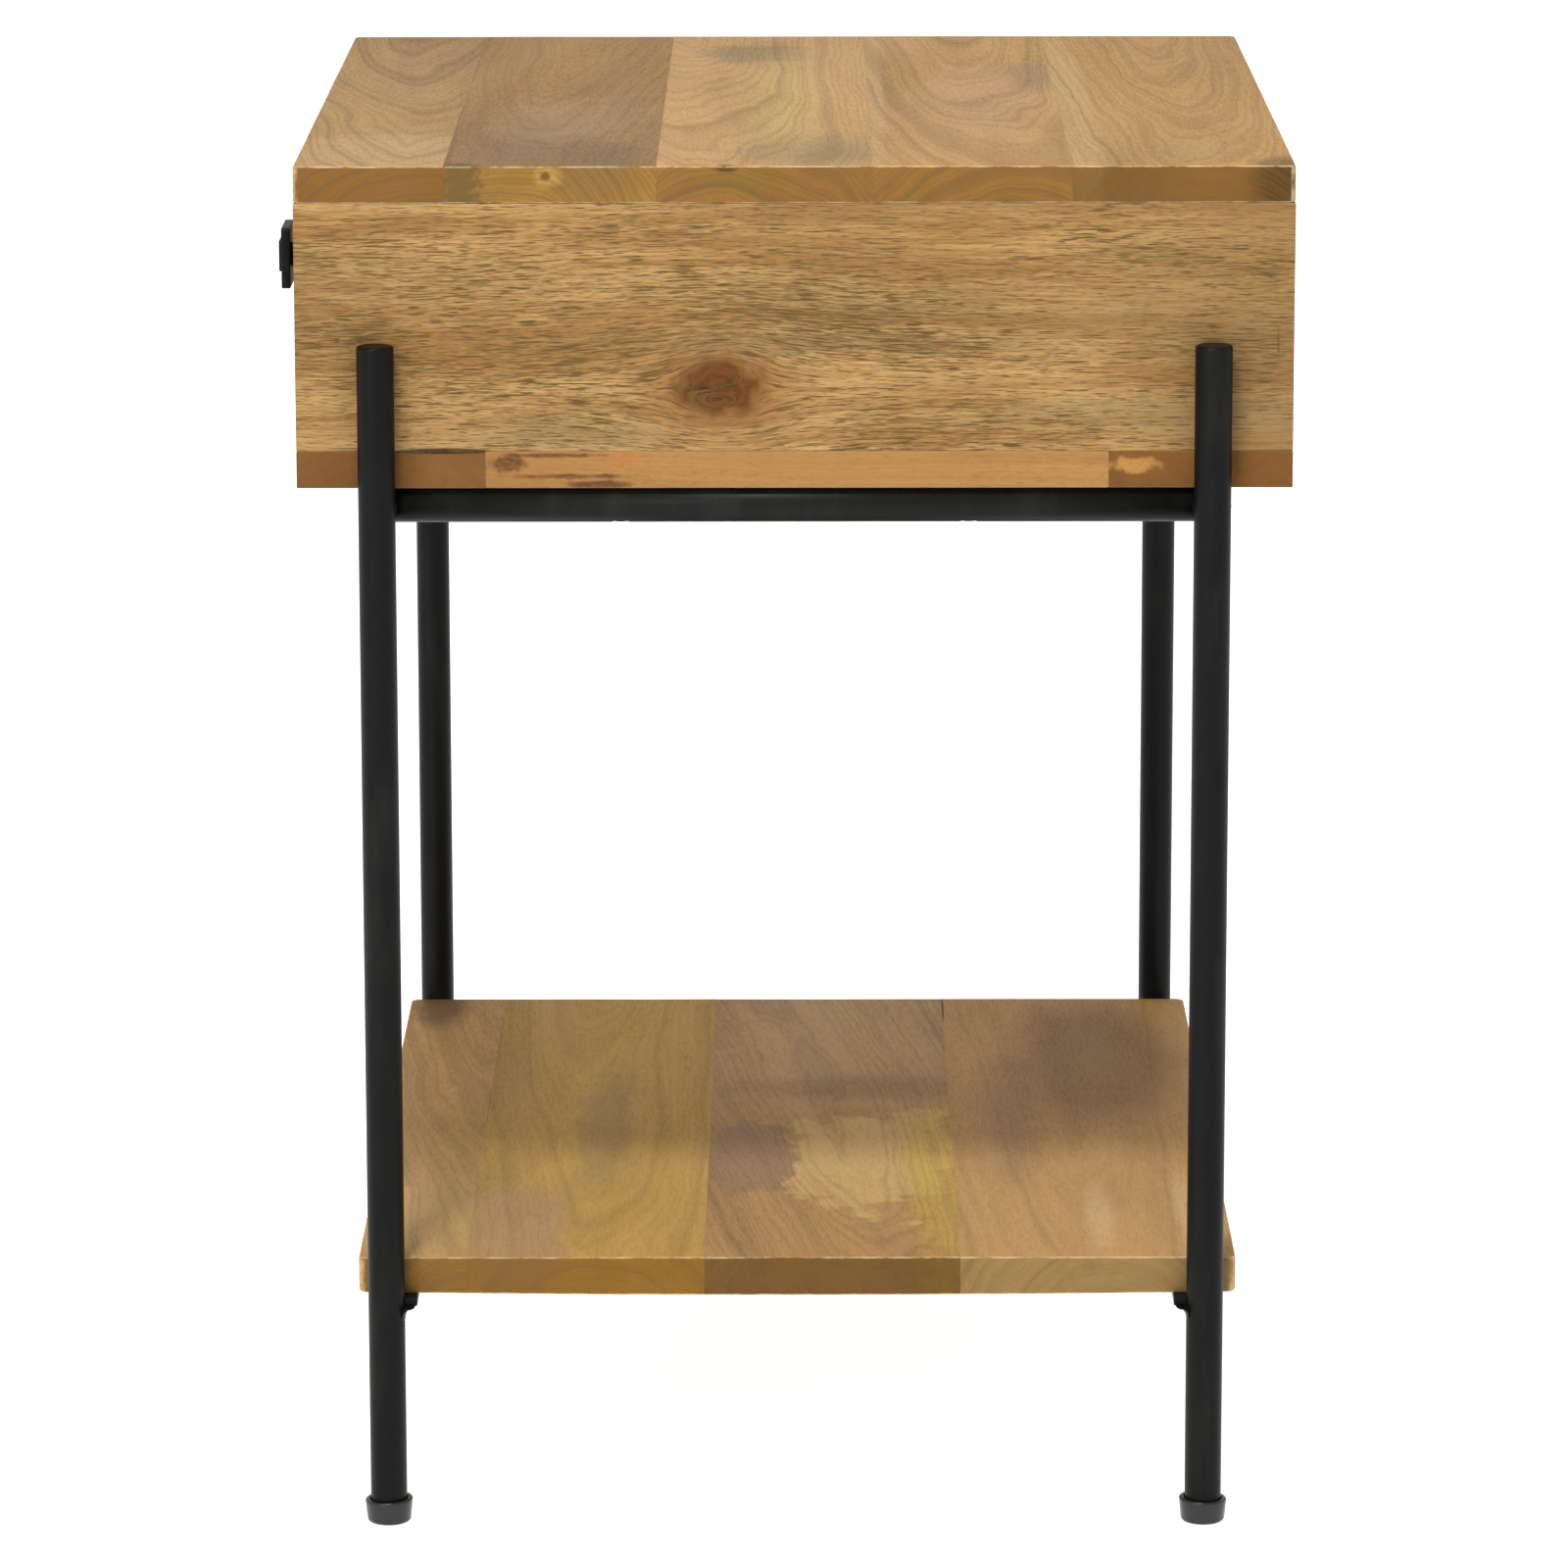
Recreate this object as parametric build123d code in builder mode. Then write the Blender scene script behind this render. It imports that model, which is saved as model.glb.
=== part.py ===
"""Side table with one drawer: a wooden case and shelf carried by four round steel legs.

Units are millimetres.  +Z is up, the drawer opens along -Y, and +X is the side on the
right of somebody who faces the drawer.  The origin is on the floor, in the middle of the
whole table, so the case sits behind it by half of what the knob stands out.
"""

import os

from build123d import *

os.makedirs("parts", exist_ok=True)

# ---------------------------------------------------------------- overall sizes
table_height = 560.0
case_width = 450.0
case_depth = 400.0
opening_height = 100.0
board_thickness = 15.0
back_thickness = 12.0
corner_radius = 3.0
edge_break = 0.8

# Boards glued side by side, front to back; the last one takes what is left.
top_stave_widths = [60.0, 85.0, 86.0, 80.0]
shelf_stave_widths = [44.0, 98.0, 105.0]

# ---------------------------------------------------------------- bottom frame of the case
front_rail_width = 76.0
rear_rail_width = 74.0
side_rail_width = 60.0
dust_panel_thickness = 4.0

# ---------------------------------------------------------------- steel frame
leg_diameter = 15.0
leg_wall = 1.5
leg_spacing = 335.0
leg_top_above_case_bottom = 59.0
end_plate_thickness = 1.5
rail_diameter = 15.0
rail_overlap = 4.0
weld_diameter = 14.0
weld_core_diameter = 4.0
foot_height = 10.0
foot_floor = 2.0
foot_top_diameter = 19.6
foot_bottom_diameter = 18.3
foot_edge_radius = 1.2

# ---------------------------------------------------------------- shelf and its lugs
shelf_top_height = 110.0
shelf_thickness = 15.0
shelf_depth = 360.0
shelf_offset = 0.6
lug_thickness = 3.5
lug_reach = 32.0
lug_outer_side = 7.0
lug_inner_side = 12.5
lug_corner_radius = 9.0
lug_screw_reach = 20.0

# ---------------------------------------------------------------- drawer
front_thickness = 15.0
front_gap = 1.5
front_bottom_gap = 2.0
drawer_side_thickness = 12.0
drawer_side_height = 88.0
drawer_side_length = 340.0
drawer_back_thickness = 12.0
drawer_bottom_thickness = 4.0
drawer_bottom_lift = 10.0
groove_depth = 5.0
groove_clearance = 0.1
running_gap = 0.4
guide_width = 10.0
guide_height = 18.0
guide_gap = 0.5
drawer_travel = 270.0
stop_gap = 0.4
stop_block_width = 40.0
stop_block_depth = 15.0
stop_block_height = 20.0
rear_stop_width = 16.0
rear_stop_height = 20.0

# ---------------------------------------------------------------- knob
knob_plate_width = 29.0
knob_plate_height = 26.0
knob_plate_thickness = 3.8
knob_plate_radius = 1.0
knob_boss_size = 13.5
knob_boss_height = 1.5
knob_boss_radius = 2.0
knob_stem_diameter = 11.3
knob_stem_length = 15.2
knob_drop = 2.5
knob_thread_depth = 10.0

# ---------------------------------------------------------------- fasteners
dowel_diameter = 8.0
dowel_in_panel = 10.0
dowel_in_side = 20.0
drawer_dowel_diameter = 6.0
drawer_dowel_in_front = 10.0
drawer_dowel_in_side = 15.0
drawer_dowel_pitch = 25.0
dowel_end_gap = 1.0
bolt_diameter = 5.0
bolt_head_diameter = 9.5
bolt_head_height = 2.7
bolt_below_leg_top = 14.0
bolt_hole_clearance = 0.25
washer_diameter = 12.0
washer_thickness = 1.0
insert_diameter = 9.0
insert_length = 8.0
insert_setback = 0.6
screw_diameter = 4.0
screw_head_diameter = 8.0
screw_head_height = 2.4
screw_grip = 11.0
rail_screw_inset = 70.0
rail_screw_recess = 3.0
thin_screw_diameter = 3.5
thin_screw_head_diameter = 7.0
thin_screw_grip = 18.0
knob_screw_diameter = 4.0
knob_washer_diameter = 10.0

# ---------------------------------------------------------------- derived places
knob_projection = knob_stem_length + knob_plate_thickness + knob_boss_height
case_y = knob_projection / 2
case_front = case_y - case_depth / 2
case_back = case_y + case_depth / 2
case_side = case_width / 2
inner_side = case_side - board_thickness

top_underside = table_height - board_thickness
bottom_upside = top_underside - opening_height
case_bottom = bottom_upside - board_thickness
back_inner = case_back - back_thickness

leg_radius = leg_diameter / 2
leg_bore_radius = leg_radius - leg_wall
leg_x = case_side + leg_radius
leg_ys = [case_y - leg_spacing / 2, case_y + leg_spacing / 2]
leg_top = case_bottom + leg_top_above_case_bottom
leg_bottom = foot_floor
bolt_height = leg_top - bolt_below_leg_top
insert_face = case_side + insert_setback

rail_radius = rail_diameter / 2
rail_x = case_side - rail_radius
rail_height = case_bottom - rail_radius
rail_half_length = leg_spacing / 2 + rail_overlap

shelf_bottom_height = shelf_top_height - shelf_thickness
shelf_y = case_y + shelf_offset
shelf_front = shelf_y - shelf_depth / 2
lug_x = case_side - lug_reach
shelf_screw_x = case_side - lug_screw_reach

drawer_front_back = case_front + front_thickness
drawer_front_width = 2 * (inner_side - front_gap)
drawer_front_bottom = bottom_upside + front_bottom_gap
drawer_front_height = opening_height - front_bottom_gap - front_gap
drawer_floor = bottom_upside + running_gap
drawer_rear = drawer_front_back + drawer_side_length
drawer_side_outer = inner_side - guide_width - guide_gap
drawer_side_inner = drawer_side_outer - drawer_side_thickness
drawer_bottom_height = drawer_floor + drawer_bottom_lift
drawer_bottom_top = drawer_bottom_height + drawer_bottom_thickness
drawer_back_front = drawer_rear - drawer_back_thickness
drawer_side_top = drawer_floor + drawer_side_height
stop_block_back = drawer_back_front - drawer_travel - stop_gap
knob_height = drawer_front_bottom + drawer_front_height / 2 - knob_drop
drawer_dowel_heights = [
    drawer_bottom_top + (drawer_side_top - drawer_bottom_top) / 2 + step * drawer_dowel_pitch
    for step in (-1, 0, 1)
]
back_screw_heights = [drawer_dowel_heights[0], drawer_dowel_heights[-1]]
thin_screw_cone = (thin_screw_head_diameter - thin_screw_diameter) / 2
back_screw_y = drawer_rear - drawer_back_thickness / 2

sides = {"left": -1, "right": 1}
ends = {"front": -1, "rear": 1}


def stave_spans(front, depth, widths):
    """Front and back of each glued board, from the front of the panel."""
    lines = [front]
    for width in widths:
        lines.append(lines[-1] + width)
    lines.append(front + depth)
    return list(zip(lines[:-1], lines[1:]))


def middles(spans):
    """Middle line of each glued board."""
    return [(low + high) / 2 for low, high in spans]


top_spans = stave_spans(case_front, case_depth, top_stave_widths)
shelf_spans = stave_spans(shelf_front, shelf_depth, shelf_stave_widths)
dowel_x = case_side - board_thickness / 2
front_rail_back = case_front + front_rail_width
rear_rail_front = case_back - rear_rail_width
top_dowel_ys = middles(top_spans)
bottom_dowel_ys = [
    case_front + front_rail_width / 2,
    (front_rail_back + rear_rail_front) / 2,
    case_back - rear_rail_width / 2,
]
bottom_side_x = case_side - side_rail_width / 2
bottom_side_inner = case_side - side_rail_width
panel_groove_height = dust_panel_thickness + 2 * groove_clearance
panel_height = case_bottom + (board_thickness - panel_groove_height) / 2


def finish(piece, name):
    """Label a piece and write it to its own file."""
    piece.part.label = name
    export_step(piece.part, f"parts/{name}.step")


def outer_corners(piece, first, last):
    """Upright edges at a panel's own corners: the front pair, the back pair or both."""
    rows = piece.edges().filter_by(Axis.Z).group_by(Axis.Y)
    chosen = ShapeList()
    if first:
        chosen += rows[0]
    if last:
        chosen += rows[-1]
    return chosen


def rim(face, low, high, keep_front, keep_back):
    """Edges of a board's face, without the joints to its neighbours."""
    chosen = ShapeList()
    for edge in face.edges():
        middle = edge.center().Y
        at_front = abs(middle - low) < edge_break
        at_back = abs(middle - high) < edge_break
        if (not at_front or keep_front) and (not at_back or keep_back):
            chosen.append(edge)
    return chosen


# ================================================================ glued panels
def glued_panel(name, spans, low, high, hole_points, hole_diameter, hole_depth):
    """Write every board of one panel, with blind holes up from its underside."""
    for number, (front, back) in enumerate(spans, start=1):
        is_first = number == 1
        is_last = number == len(spans)
        with BuildPart() as stave:
            with BuildSketch(Plane.XY.offset(low)):
                with Locations((0, (front + back) / 2)):
                    Rectangle(case_width, back - front)
            extrude(amount=high - low)
            if is_first or is_last:
                fillet(outer_corners(stave, is_first, is_last), corner_radius)
            for face in (stave.faces().sort_by(Axis.Z)[-1], stave.faces().sort_by(Axis.Z)[0]):
                chamfer(rim(face, front, back, is_first, is_last), edge_break)
            inside = [(x, y) for x, y in hole_points if front < y < back]
            if inside:
                with BuildSketch(Plane.XY.offset(low)):
                    with Locations(*inside):
                        Circle(hole_diameter / 2)
                extrude(amount=hole_depth, mode=Mode.SUBTRACT)
        finish(stave, f"{name}_stave_{number}")


rail_screw_points = [
    (x * rail_x, case_y + y * rail_screw_inset) for x in (-1, 1) for y in (-1, 1)
]
shelf_screw_points = [(x * shelf_screw_x, y) for x in (-1, 1) for y in leg_ys]

top_dowel_points = [(x * dowel_x, y) for x in (-1, 1) for y in top_dowel_ys]
bottom_dowel_points = [(x * dowel_x, y) for x in (-1, 1) for y in bottom_dowel_ys]

glued_panel(
    "top",
    top_spans,
    top_underside,
    table_height,
    top_dowel_points,
    dowel_diameter,
    dowel_in_panel + dowel_end_gap,
)
glued_panel(
    "shelf",
    shelf_spans,
    shelf_bottom_height,
    shelf_top_height,
    shelf_screw_points,
    screw_diameter,
    screw_grip,
)

# ================================================================ bottom frame of the case
frame_dowel_xs = [bottom_side_inner + side_rail_width * share for share in (0.3, 0.7)]
frame_dowel_height = case_bottom + board_thickness / 2


def frame_dowel_places(sign):
    """Where the dowels between two rails sit on the joint's plane."""
    return [(sign * x, frame_dowel_height) for x in frame_dowel_xs]


for end, low, high, joint in (
    ("front", case_front, front_rail_back, front_rail_back),
    ("rear", rear_rail_front, case_back, rear_rail_front),
):
    inward = -ends[end]
    middle_y = (low + high) / 2
    with BuildPart() as cross_rail:
        with BuildSketch(Plane.XY.offset(case_bottom)):
            with Locations((0, middle_y)):
                Rectangle(case_width, high - low)
        extrude(amount=board_thickness)
        fillet(outer_corners(cross_rail, end == "front", end == "rear"), corner_radius)
        chamfer(
            rim(cross_rail.faces().sort_by(Axis.Z)[0], low, high, end == "front", end == "rear"),
            edge_break,
        )
        with BuildSketch(Plane.XZ.offset(-joint)):
            with Locations((0, panel_height + panel_groove_height / 2)):
                Rectangle(2 * (bottom_side_inner + groove_depth + groove_clearance), panel_groove_height)
        extrude(amount=inward * (groove_depth + groove_clearance), mode=Mode.SUBTRACT)
        with BuildSketch(Plane.XZ.offset(-joint)):
            with Locations(*[place for sign in sides.values() for place in frame_dowel_places(sign)]):
                Circle(dowel_diameter / 2)
        extrude(amount=inward * (dowel_in_side + dowel_end_gap), mode=Mode.SUBTRACT)
        with BuildSketch(Plane.XY.offset(bottom_upside)):
            with Locations((-dowel_x, middle_y), (dowel_x, middle_y)):
                Circle(dowel_diameter / 2)
        extrude(amount=-(dowel_in_panel + dowel_end_gap), mode=Mode.SUBTRACT)
    finish(cross_rail, f"bottom_rail_{end}")

for side, sign in sides.items():
    length = rear_rail_front - front_rail_back
    with BuildPart() as long_rail:
        with BuildSketch(Plane.XY.offset(case_bottom)):
            with Locations((sign * bottom_side_x, bottom_dowel_ys[1])):
                Rectangle(side_rail_width, length)
        extrude(amount=board_thickness)
        lowest = long_rail.faces().sort_by(Axis.Z)[0].edges().filter_by(Axis.Y)
        chamfer(lowest.sort_by(Axis.X)[-1 if sign > 0 else 0], edge_break)
        with BuildSketch(Plane.YZ.offset(sign * bottom_side_inner)):
            with Locations((bottom_dowel_ys[1], panel_height + panel_groove_height / 2)):
                Rectangle(length, panel_groove_height)
        extrude(amount=sign * (groove_depth + groove_clearance), mode=Mode.SUBTRACT)
        for joint, way in ((front_rail_back, -1), (rear_rail_front, 1)):
            with BuildSketch(Plane.XZ.offset(-joint)):
                with Locations(*frame_dowel_places(sign)):
                    Circle(dowel_diameter / 2)
            extrude(amount=way * (dowel_in_side + dowel_end_gap), mode=Mode.SUBTRACT)
        with BuildSketch(Plane.XY.offset(bottom_upside)):
            with Locations((sign * dowel_x, bottom_dowel_ys[1])):
                Circle(dowel_diameter / 2)
        extrude(amount=-(dowel_in_panel + dowel_end_gap), mode=Mode.SUBTRACT)
        with BuildSketch(Plane.XY.offset(case_bottom)):
            with Locations(*[(x, y) for x, y in rail_screw_points if x * sign > 0]):
                Circle(screw_diameter / 2)
        extrude(amount=screw_grip, mode=Mode.SUBTRACT)
    finish(long_rail, f"bottom_rail_{side}")

with BuildPart() as dust_panel:
    with BuildSketch(Plane.XY.offset(panel_height + groove_clearance)):
        with Locations((0, bottom_dowel_ys[1])):
            Rectangle(
                2 * (bottom_side_inner + groove_depth),
                rear_rail_front - front_rail_back + 2 * groove_depth,
            )
    extrude(amount=dust_panel_thickness)
finish(dust_panel, "dust_panel")

with BuildPart() as frame_dowels:
    for joint in (front_rail_back, rear_rail_front):
        with BuildSketch(Plane.XZ.offset(-joint - dowel_in_side)):
            with Locations(*[place for sign in sides.values() for place in frame_dowel_places(sign)]):
                Circle(dowel_diameter / 2)
        extrude(amount=2 * dowel_in_side)
finish(frame_dowels, "frame_dowels")

# ================================================================ case walls
for side, sign in sides.items():
    with BuildPart() as side_panel:
        with BuildSketch(Plane.XY.offset(bottom_upside)):
            with Locations((sign * dowel_x, case_y)):
                Rectangle(board_thickness, case_depth)
        extrude(amount=opening_height)
        for level, dowel_ys, up in (
            (bottom_upside, bottom_dowel_ys, 1),
            (top_underside, top_dowel_ys, -1),
        ):
            with BuildSketch(Plane.XY.offset(level)):
                with Locations(*[(sign * dowel_x, y) for y in dowel_ys]):
                    Circle(dowel_diameter / 2)
            extrude(amount=up * (dowel_in_side + dowel_end_gap), mode=Mode.SUBTRACT)
        with BuildSketch(Plane.YZ.offset(sign * inner_side)):
            with Locations(*[(y, bolt_height) for y in leg_ys]):
                Circle(bolt_diameter / 2 + bolt_hole_clearance)
        extrude(amount=sign * board_thickness, mode=Mode.SUBTRACT)
    finish(side_panel, f"side_panel_{side}")

with BuildPart() as back_panel:
    with BuildSketch(Plane.XY.offset(bottom_upside)):
        with Locations((0, case_back - back_thickness / 2)):
            Rectangle(2 * inner_side, back_thickness)
    extrude(amount=opening_height)
finish(back_panel, "back_panel")

with BuildPart() as case_dowels:
    for level, points, up in (
        (bottom_upside, bottom_dowel_points, 1),
        (top_underside, top_dowel_points, -1),
    ):
        with BuildSketch(Plane.XY.offset(level - up * dowel_in_panel)):
            with Locations(*points):
                Circle(dowel_diameter / 2)
        extrude(amount=up * (dowel_in_panel + dowel_in_side))
finish(case_dowels, "case_dowels")

# ================================================================ legs and feet
for end, y in zip(ends, leg_ys):
    for side, sign in sides.items():
        with BuildPart() as leg:
            with BuildSketch(Plane.XY.offset(leg_bottom)):
                with Locations((sign * leg_x, y)):
                    Circle(leg_radius)
                    Circle(leg_bore_radius, mode=Mode.SUBTRACT)
            extrude(amount=leg_top - end_plate_thickness - leg_bottom)
            with BuildSketch(Plane.YZ.offset(sign * case_side)):
                with Locations((y, bolt_height)):
                    Circle(insert_diameter / 2)
            extrude(amount=sign * leg_radius, mode=Mode.SUBTRACT)
        finish(leg, f"leg_{end}_{side}")

        with BuildPart() as foot:
            with BuildSketch(Plane.XZ.offset(-y)):
                with BuildLine():
                    Polyline(
                        (sign * leg_x, 0),
                        (sign * leg_x + foot_bottom_diameter / 2, 0),
                        (sign * leg_x + foot_top_diameter / 2, foot_height),
                        (sign * leg_x + leg_radius, foot_height),
                        (sign * leg_x + leg_radius, foot_floor),
                        (sign * leg_x, foot_floor),
                        close=True,
                    )
                make_face()
            revolve(axis=Axis((sign * leg_x, y, 0), (0, 0, 1)))
            fillet(foot.faces().sort_by(Axis.Z)[0].edges(), foot_edge_radius)
        finish(foot, f"foot_cap_{end}_{side}")

with BuildPart() as leg_end_plates:
    with BuildSketch(Plane.XY.offset(leg_top - end_plate_thickness)):
        with Locations(*[(x * leg_x, y) for x in (-1, 1) for y in leg_ys]):
            Circle(leg_radius)
    extrude(amount=end_plate_thickness)
finish(leg_end_plates, "leg_end_plates")

# ================================================================ rails under the case
for side, sign in sides.items():
    with BuildPart() as side_rail:
        with BuildSketch(Plane.XZ.offset(rail_half_length - case_y)):
            with Locations((sign * rail_x, rail_height)):
                Circle(rail_radius)
        extrude(amount=-2 * rail_half_length)
        with BuildSketch(Plane.XY.offset(rail_height - rail_radius)):
            with Locations(*[(x, y) for x, y in rail_screw_points if x * sign > 0]):
                Circle(screw_diameter / 2)
        extrude(amount=rail_diameter, mode=Mode.SUBTRACT)
        with BuildSketch(Plane.XY.offset(rail_height - rail_radius)):
            with Locations(*[(x, y) for x, y in rail_screw_points if x * sign > 0]):
                Circle(screw_head_diameter / 2 + bolt_hole_clearance)
        extrude(amount=rail_screw_recess, mode=Mode.SUBTRACT)
    finish(side_rail, f"side_rail_{side}")

with BuildPart() as rail_welds:
    for sign in sides.values():
        with BuildSketch(Plane.YZ.offset(sign * rail_x)):
            with Locations(*[(y, rail_height) for y in leg_ys]):
                Circle(weld_diameter / 2)
                Circle(weld_core_diameter / 2, mode=Mode.SUBTRACT)
        extrude(amount=sign * (leg_x - rail_x))
    for sign in sides.values():
        for y in leg_ys:
            with Locations((sign * leg_x, y, rail_height)):
                Cylinder(leg_radius, 2 * rail_diameter, mode=Mode.SUBTRACT)
        with Locations((sign * rail_x, case_y, rail_height)):
            Cylinder(rail_radius, 2 * leg_spacing, rotation=(90, 0, 0), mode=Mode.SUBTRACT)
finish(rail_welds, "rail_welds")

# ================================================================ shelf lugs
for end, y in zip(ends, leg_ys):
    inward = -ends[end]
    for side, sign in sides.items():
        with BuildPart() as lug:
            with BuildSketch(Plane.XY.offset(shelf_bottom_height - lug_thickness)) as lug_outline:
                with Locations(
                    (
                        sign * (lug_x + leg_x) / 2,
                        y + inward * (lug_inner_side - lug_outer_side) / 2,
                    )
                ):
                    Rectangle(leg_x - lug_x, lug_inner_side + lug_outer_side)
                free_end = lug_outline.vertices().sort_by(Axis.X)
                fillet(free_end[:2] if sign > 0 else free_end[-2:], lug_corner_radius)
                with Locations((sign * leg_x, y)):
                    Circle(leg_radius, mode=Mode.SUBTRACT)
                with Locations((sign * shelf_screw_x, y)):
                    Circle(screw_diameter / 2, mode=Mode.SUBTRACT)
            extrude(amount=lug_thickness)
        finish(lug, f"shelf_lug_{end}_{side}")


# ================================================================ fasteners of the frame
def screws_up(name, points, seat, through):
    """Pan-head screws driven upwards: the head hangs below seat, the point is above it."""
    with BuildPart() as screws:
        with BuildSketch(Plane.XY.offset(seat - screw_head_height)):
            with Locations(*points):
                Circle(screw_head_diameter / 2)
        extrude(amount=screw_head_height)
        fillet(screws.faces().group_by(Axis.Z)[0].edges(), screw_head_height / 3)
        with BuildSketch(Plane.XY.offset(seat)):
            with Locations(*points):
                Circle(screw_diameter / 2)
        extrude(amount=through + screw_grip)
    finish(screws, name)


rail_screw_seat = rail_height - rail_radius + rail_screw_recess
screws_up("rail_screws", rail_screw_points, rail_screw_seat, rail_diameter - rail_screw_recess)
screws_up("shelf_screws", shelf_screw_points, shelf_bottom_height - lug_thickness, lug_thickness)

with BuildPart() as case_washers:
    for sign in sides.values():
        with BuildSketch(Plane.YZ.offset(sign * inner_side)):
            with Locations(*[(y, bolt_height) for y in leg_ys]):
                Circle(washer_diameter / 2)
                Circle(bolt_diameter / 2 + bolt_hole_clearance, mode=Mode.SUBTRACT)
        extrude(amount=-sign * washer_thickness)
finish(case_washers, "case_washers")

with BuildPart() as case_bolts:
    for sign in sides.values():
        seat = sign * (inner_side - washer_thickness)
        with BuildSketch(Plane.YZ.offset(seat)):
            with Locations(*[(y, bolt_height) for y in leg_ys]):
                Circle(bolt_head_diameter / 2)
        extrude(amount=-sign * bolt_head_height)
        with BuildSketch(Plane.YZ.offset(seat)):
            with Locations(*[(y, bolt_height) for y in leg_ys]):
                Circle(bolt_diameter / 2)
        extrude(amount=sign * (insert_face + insert_length) - seat)
finish(case_bolts, "case_bolts")

with BuildPart() as leg_inserts:
    for sign in sides.values():
        with BuildSketch(Plane.YZ.offset(sign * insert_face)):
            with Locations(*[(y, bolt_height) for y in leg_ys]):
                Circle(insert_diameter / 2)
                Circle(bolt_diameter / 2, mode=Mode.SUBTRACT)
        extrude(amount=sign * insert_length)
finish(leg_inserts, "leg_inserts")

# ================================================================ drawer guides and stops
for side, sign in sides.items():
    with BuildPart() as guide:
        with BuildSketch(Plane.XY.offset(bottom_upside)):
            with Locations(
                (sign * (inner_side - guide_width / 2), (drawer_front_back + back_inner) / 2)
            ):
                Rectangle(guide_width, back_inner - drawer_front_back - 2 * stop_gap)
        extrude(amount=guide_height)
        chamfer(guide.faces().sort_by(Axis.Z)[-1].edges().filter_by(Axis.Y), edge_break)
    finish(guide, f"drawer_guide_{side}")

with BuildPart() as rear_stops:
    rear_stop_front = drawer_rear + stop_gap
    with BuildSketch(Plane.XY.offset(bottom_upside)):
        with Locations(
            *[
                (
                    sign * (drawer_side_outer - rear_stop_width / 2),
                    (rear_stop_front + back_inner) / 2,
                )
                for sign in sides.values()
            ]
        ):
            Rectangle(rear_stop_width, back_inner - rear_stop_front)
    extrude(amount=rear_stop_height)
finish(rear_stops, "drawer_rear_stops")

with BuildPart() as pull_out_stop:
    with BuildSketch(Plane.XY.offset(top_underside - stop_block_height)):
        with Locations((0, stop_block_back - stop_block_depth / 2)):
            Rectangle(stop_block_width, stop_block_depth)
    extrude(amount=stop_block_height)
    chamfer(pull_out_stop.faces().sort_by(Axis.Z)[0].edges(), edge_break)
finish(pull_out_stop, "pull_out_stop")

# ================================================================ drawer box
groove_height = drawer_bottom_thickness + 2 * groove_clearance
groove_middle = drawer_bottom_height + drawer_bottom_thickness / 2

with BuildPart() as drawer_front:
    with BuildSketch(Plane.XY.offset(drawer_front_bottom)):
        with Locations((0, case_front + front_thickness / 2)):
            Rectangle(drawer_front_width, front_thickness)
    extrude(amount=drawer_front_height)
    chamfer(drawer_front.faces().sort_by(Axis.Y)[0].edges(), edge_break)
    with BuildSketch(Plane.XZ.offset(-drawer_front_back)):
        with Locations((0, groove_middle)):
            Rectangle(2 * (drawer_side_inner + groove_depth + groove_clearance), groove_height)
    extrude(amount=groove_depth + groove_clearance, mode=Mode.SUBTRACT)
    with BuildSketch(Plane.XZ.offset(-drawer_front_back)):
        with Locations(
            *[
                (sign * (drawer_side_inner + drawer_side_thickness / 2), height)
                for sign in sides.values()
                for height in drawer_dowel_heights
            ]
        ):
            Circle(drawer_dowel_diameter / 2)
    extrude(amount=drawer_dowel_in_front + dowel_end_gap, mode=Mode.SUBTRACT)
    with BuildSketch(Plane.XZ.offset(-drawer_front_back)):
        with Locations((0, knob_height)):
            Circle(knob_screw_diameter / 2 + bolt_hole_clearance)
    extrude(amount=front_thickness, mode=Mode.SUBTRACT)
finish(drawer_front, "drawer_front")

for side, sign in sides.items():
    with BuildPart() as drawer_side:
        middle_x = sign * (drawer_side_inner + drawer_side_thickness / 2)
        with BuildSketch(Plane.XY.offset(drawer_floor)):
            with Locations((middle_x, (drawer_front_back + drawer_rear) / 2)):
                Rectangle(drawer_side_thickness, drawer_side_length)
        extrude(amount=drawer_side_height)
        chamfer(drawer_side.faces().sort_by(Axis.Z)[-1].edges().filter_by(Axis.Y), edge_break)
        with BuildSketch(Plane.XZ.offset(-drawer_rear)):
            with Locations((sign * (drawer_side_inner + groove_depth / 2), groove_middle)):
                Rectangle(groove_depth + 2 * groove_clearance, groove_height)
        extrude(amount=drawer_side_length, mode=Mode.SUBTRACT)
        with BuildSketch(Plane.XZ.offset(-drawer_front_back)):
            with Locations(*[(middle_x, height) for height in drawer_dowel_heights]):
                Circle(drawer_dowel_diameter / 2)
        extrude(amount=-(drawer_dowel_in_side + dowel_end_gap), mode=Mode.SUBTRACT)
        with BuildSketch(Plane.YZ.offset(sign * drawer_side_inner)):
            with Locations(*[(back_screw_y, height) for height in back_screw_heights]):
                Circle(thin_screw_diameter / 2)
        extrude(amount=sign * drawer_side_thickness, mode=Mode.SUBTRACT)
        for height in back_screw_heights:
            seat_plane = Plane(
                origin=(sign * drawer_side_outer, back_screw_y, height),
                x_dir=(0, 1, 0),
                z_dir=(-sign, 0, 0),
            )
            with Locations(seat_plane):
                Cone(
                    thin_screw_head_diameter / 2,
                    thin_screw_diameter / 2,
                    thin_screw_cone,
                    align=(Align.CENTER, Align.CENTER, Align.MIN),
                    mode=Mode.SUBTRACT,
                )
    finish(drawer_side, f"drawer_side_{side}")

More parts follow.
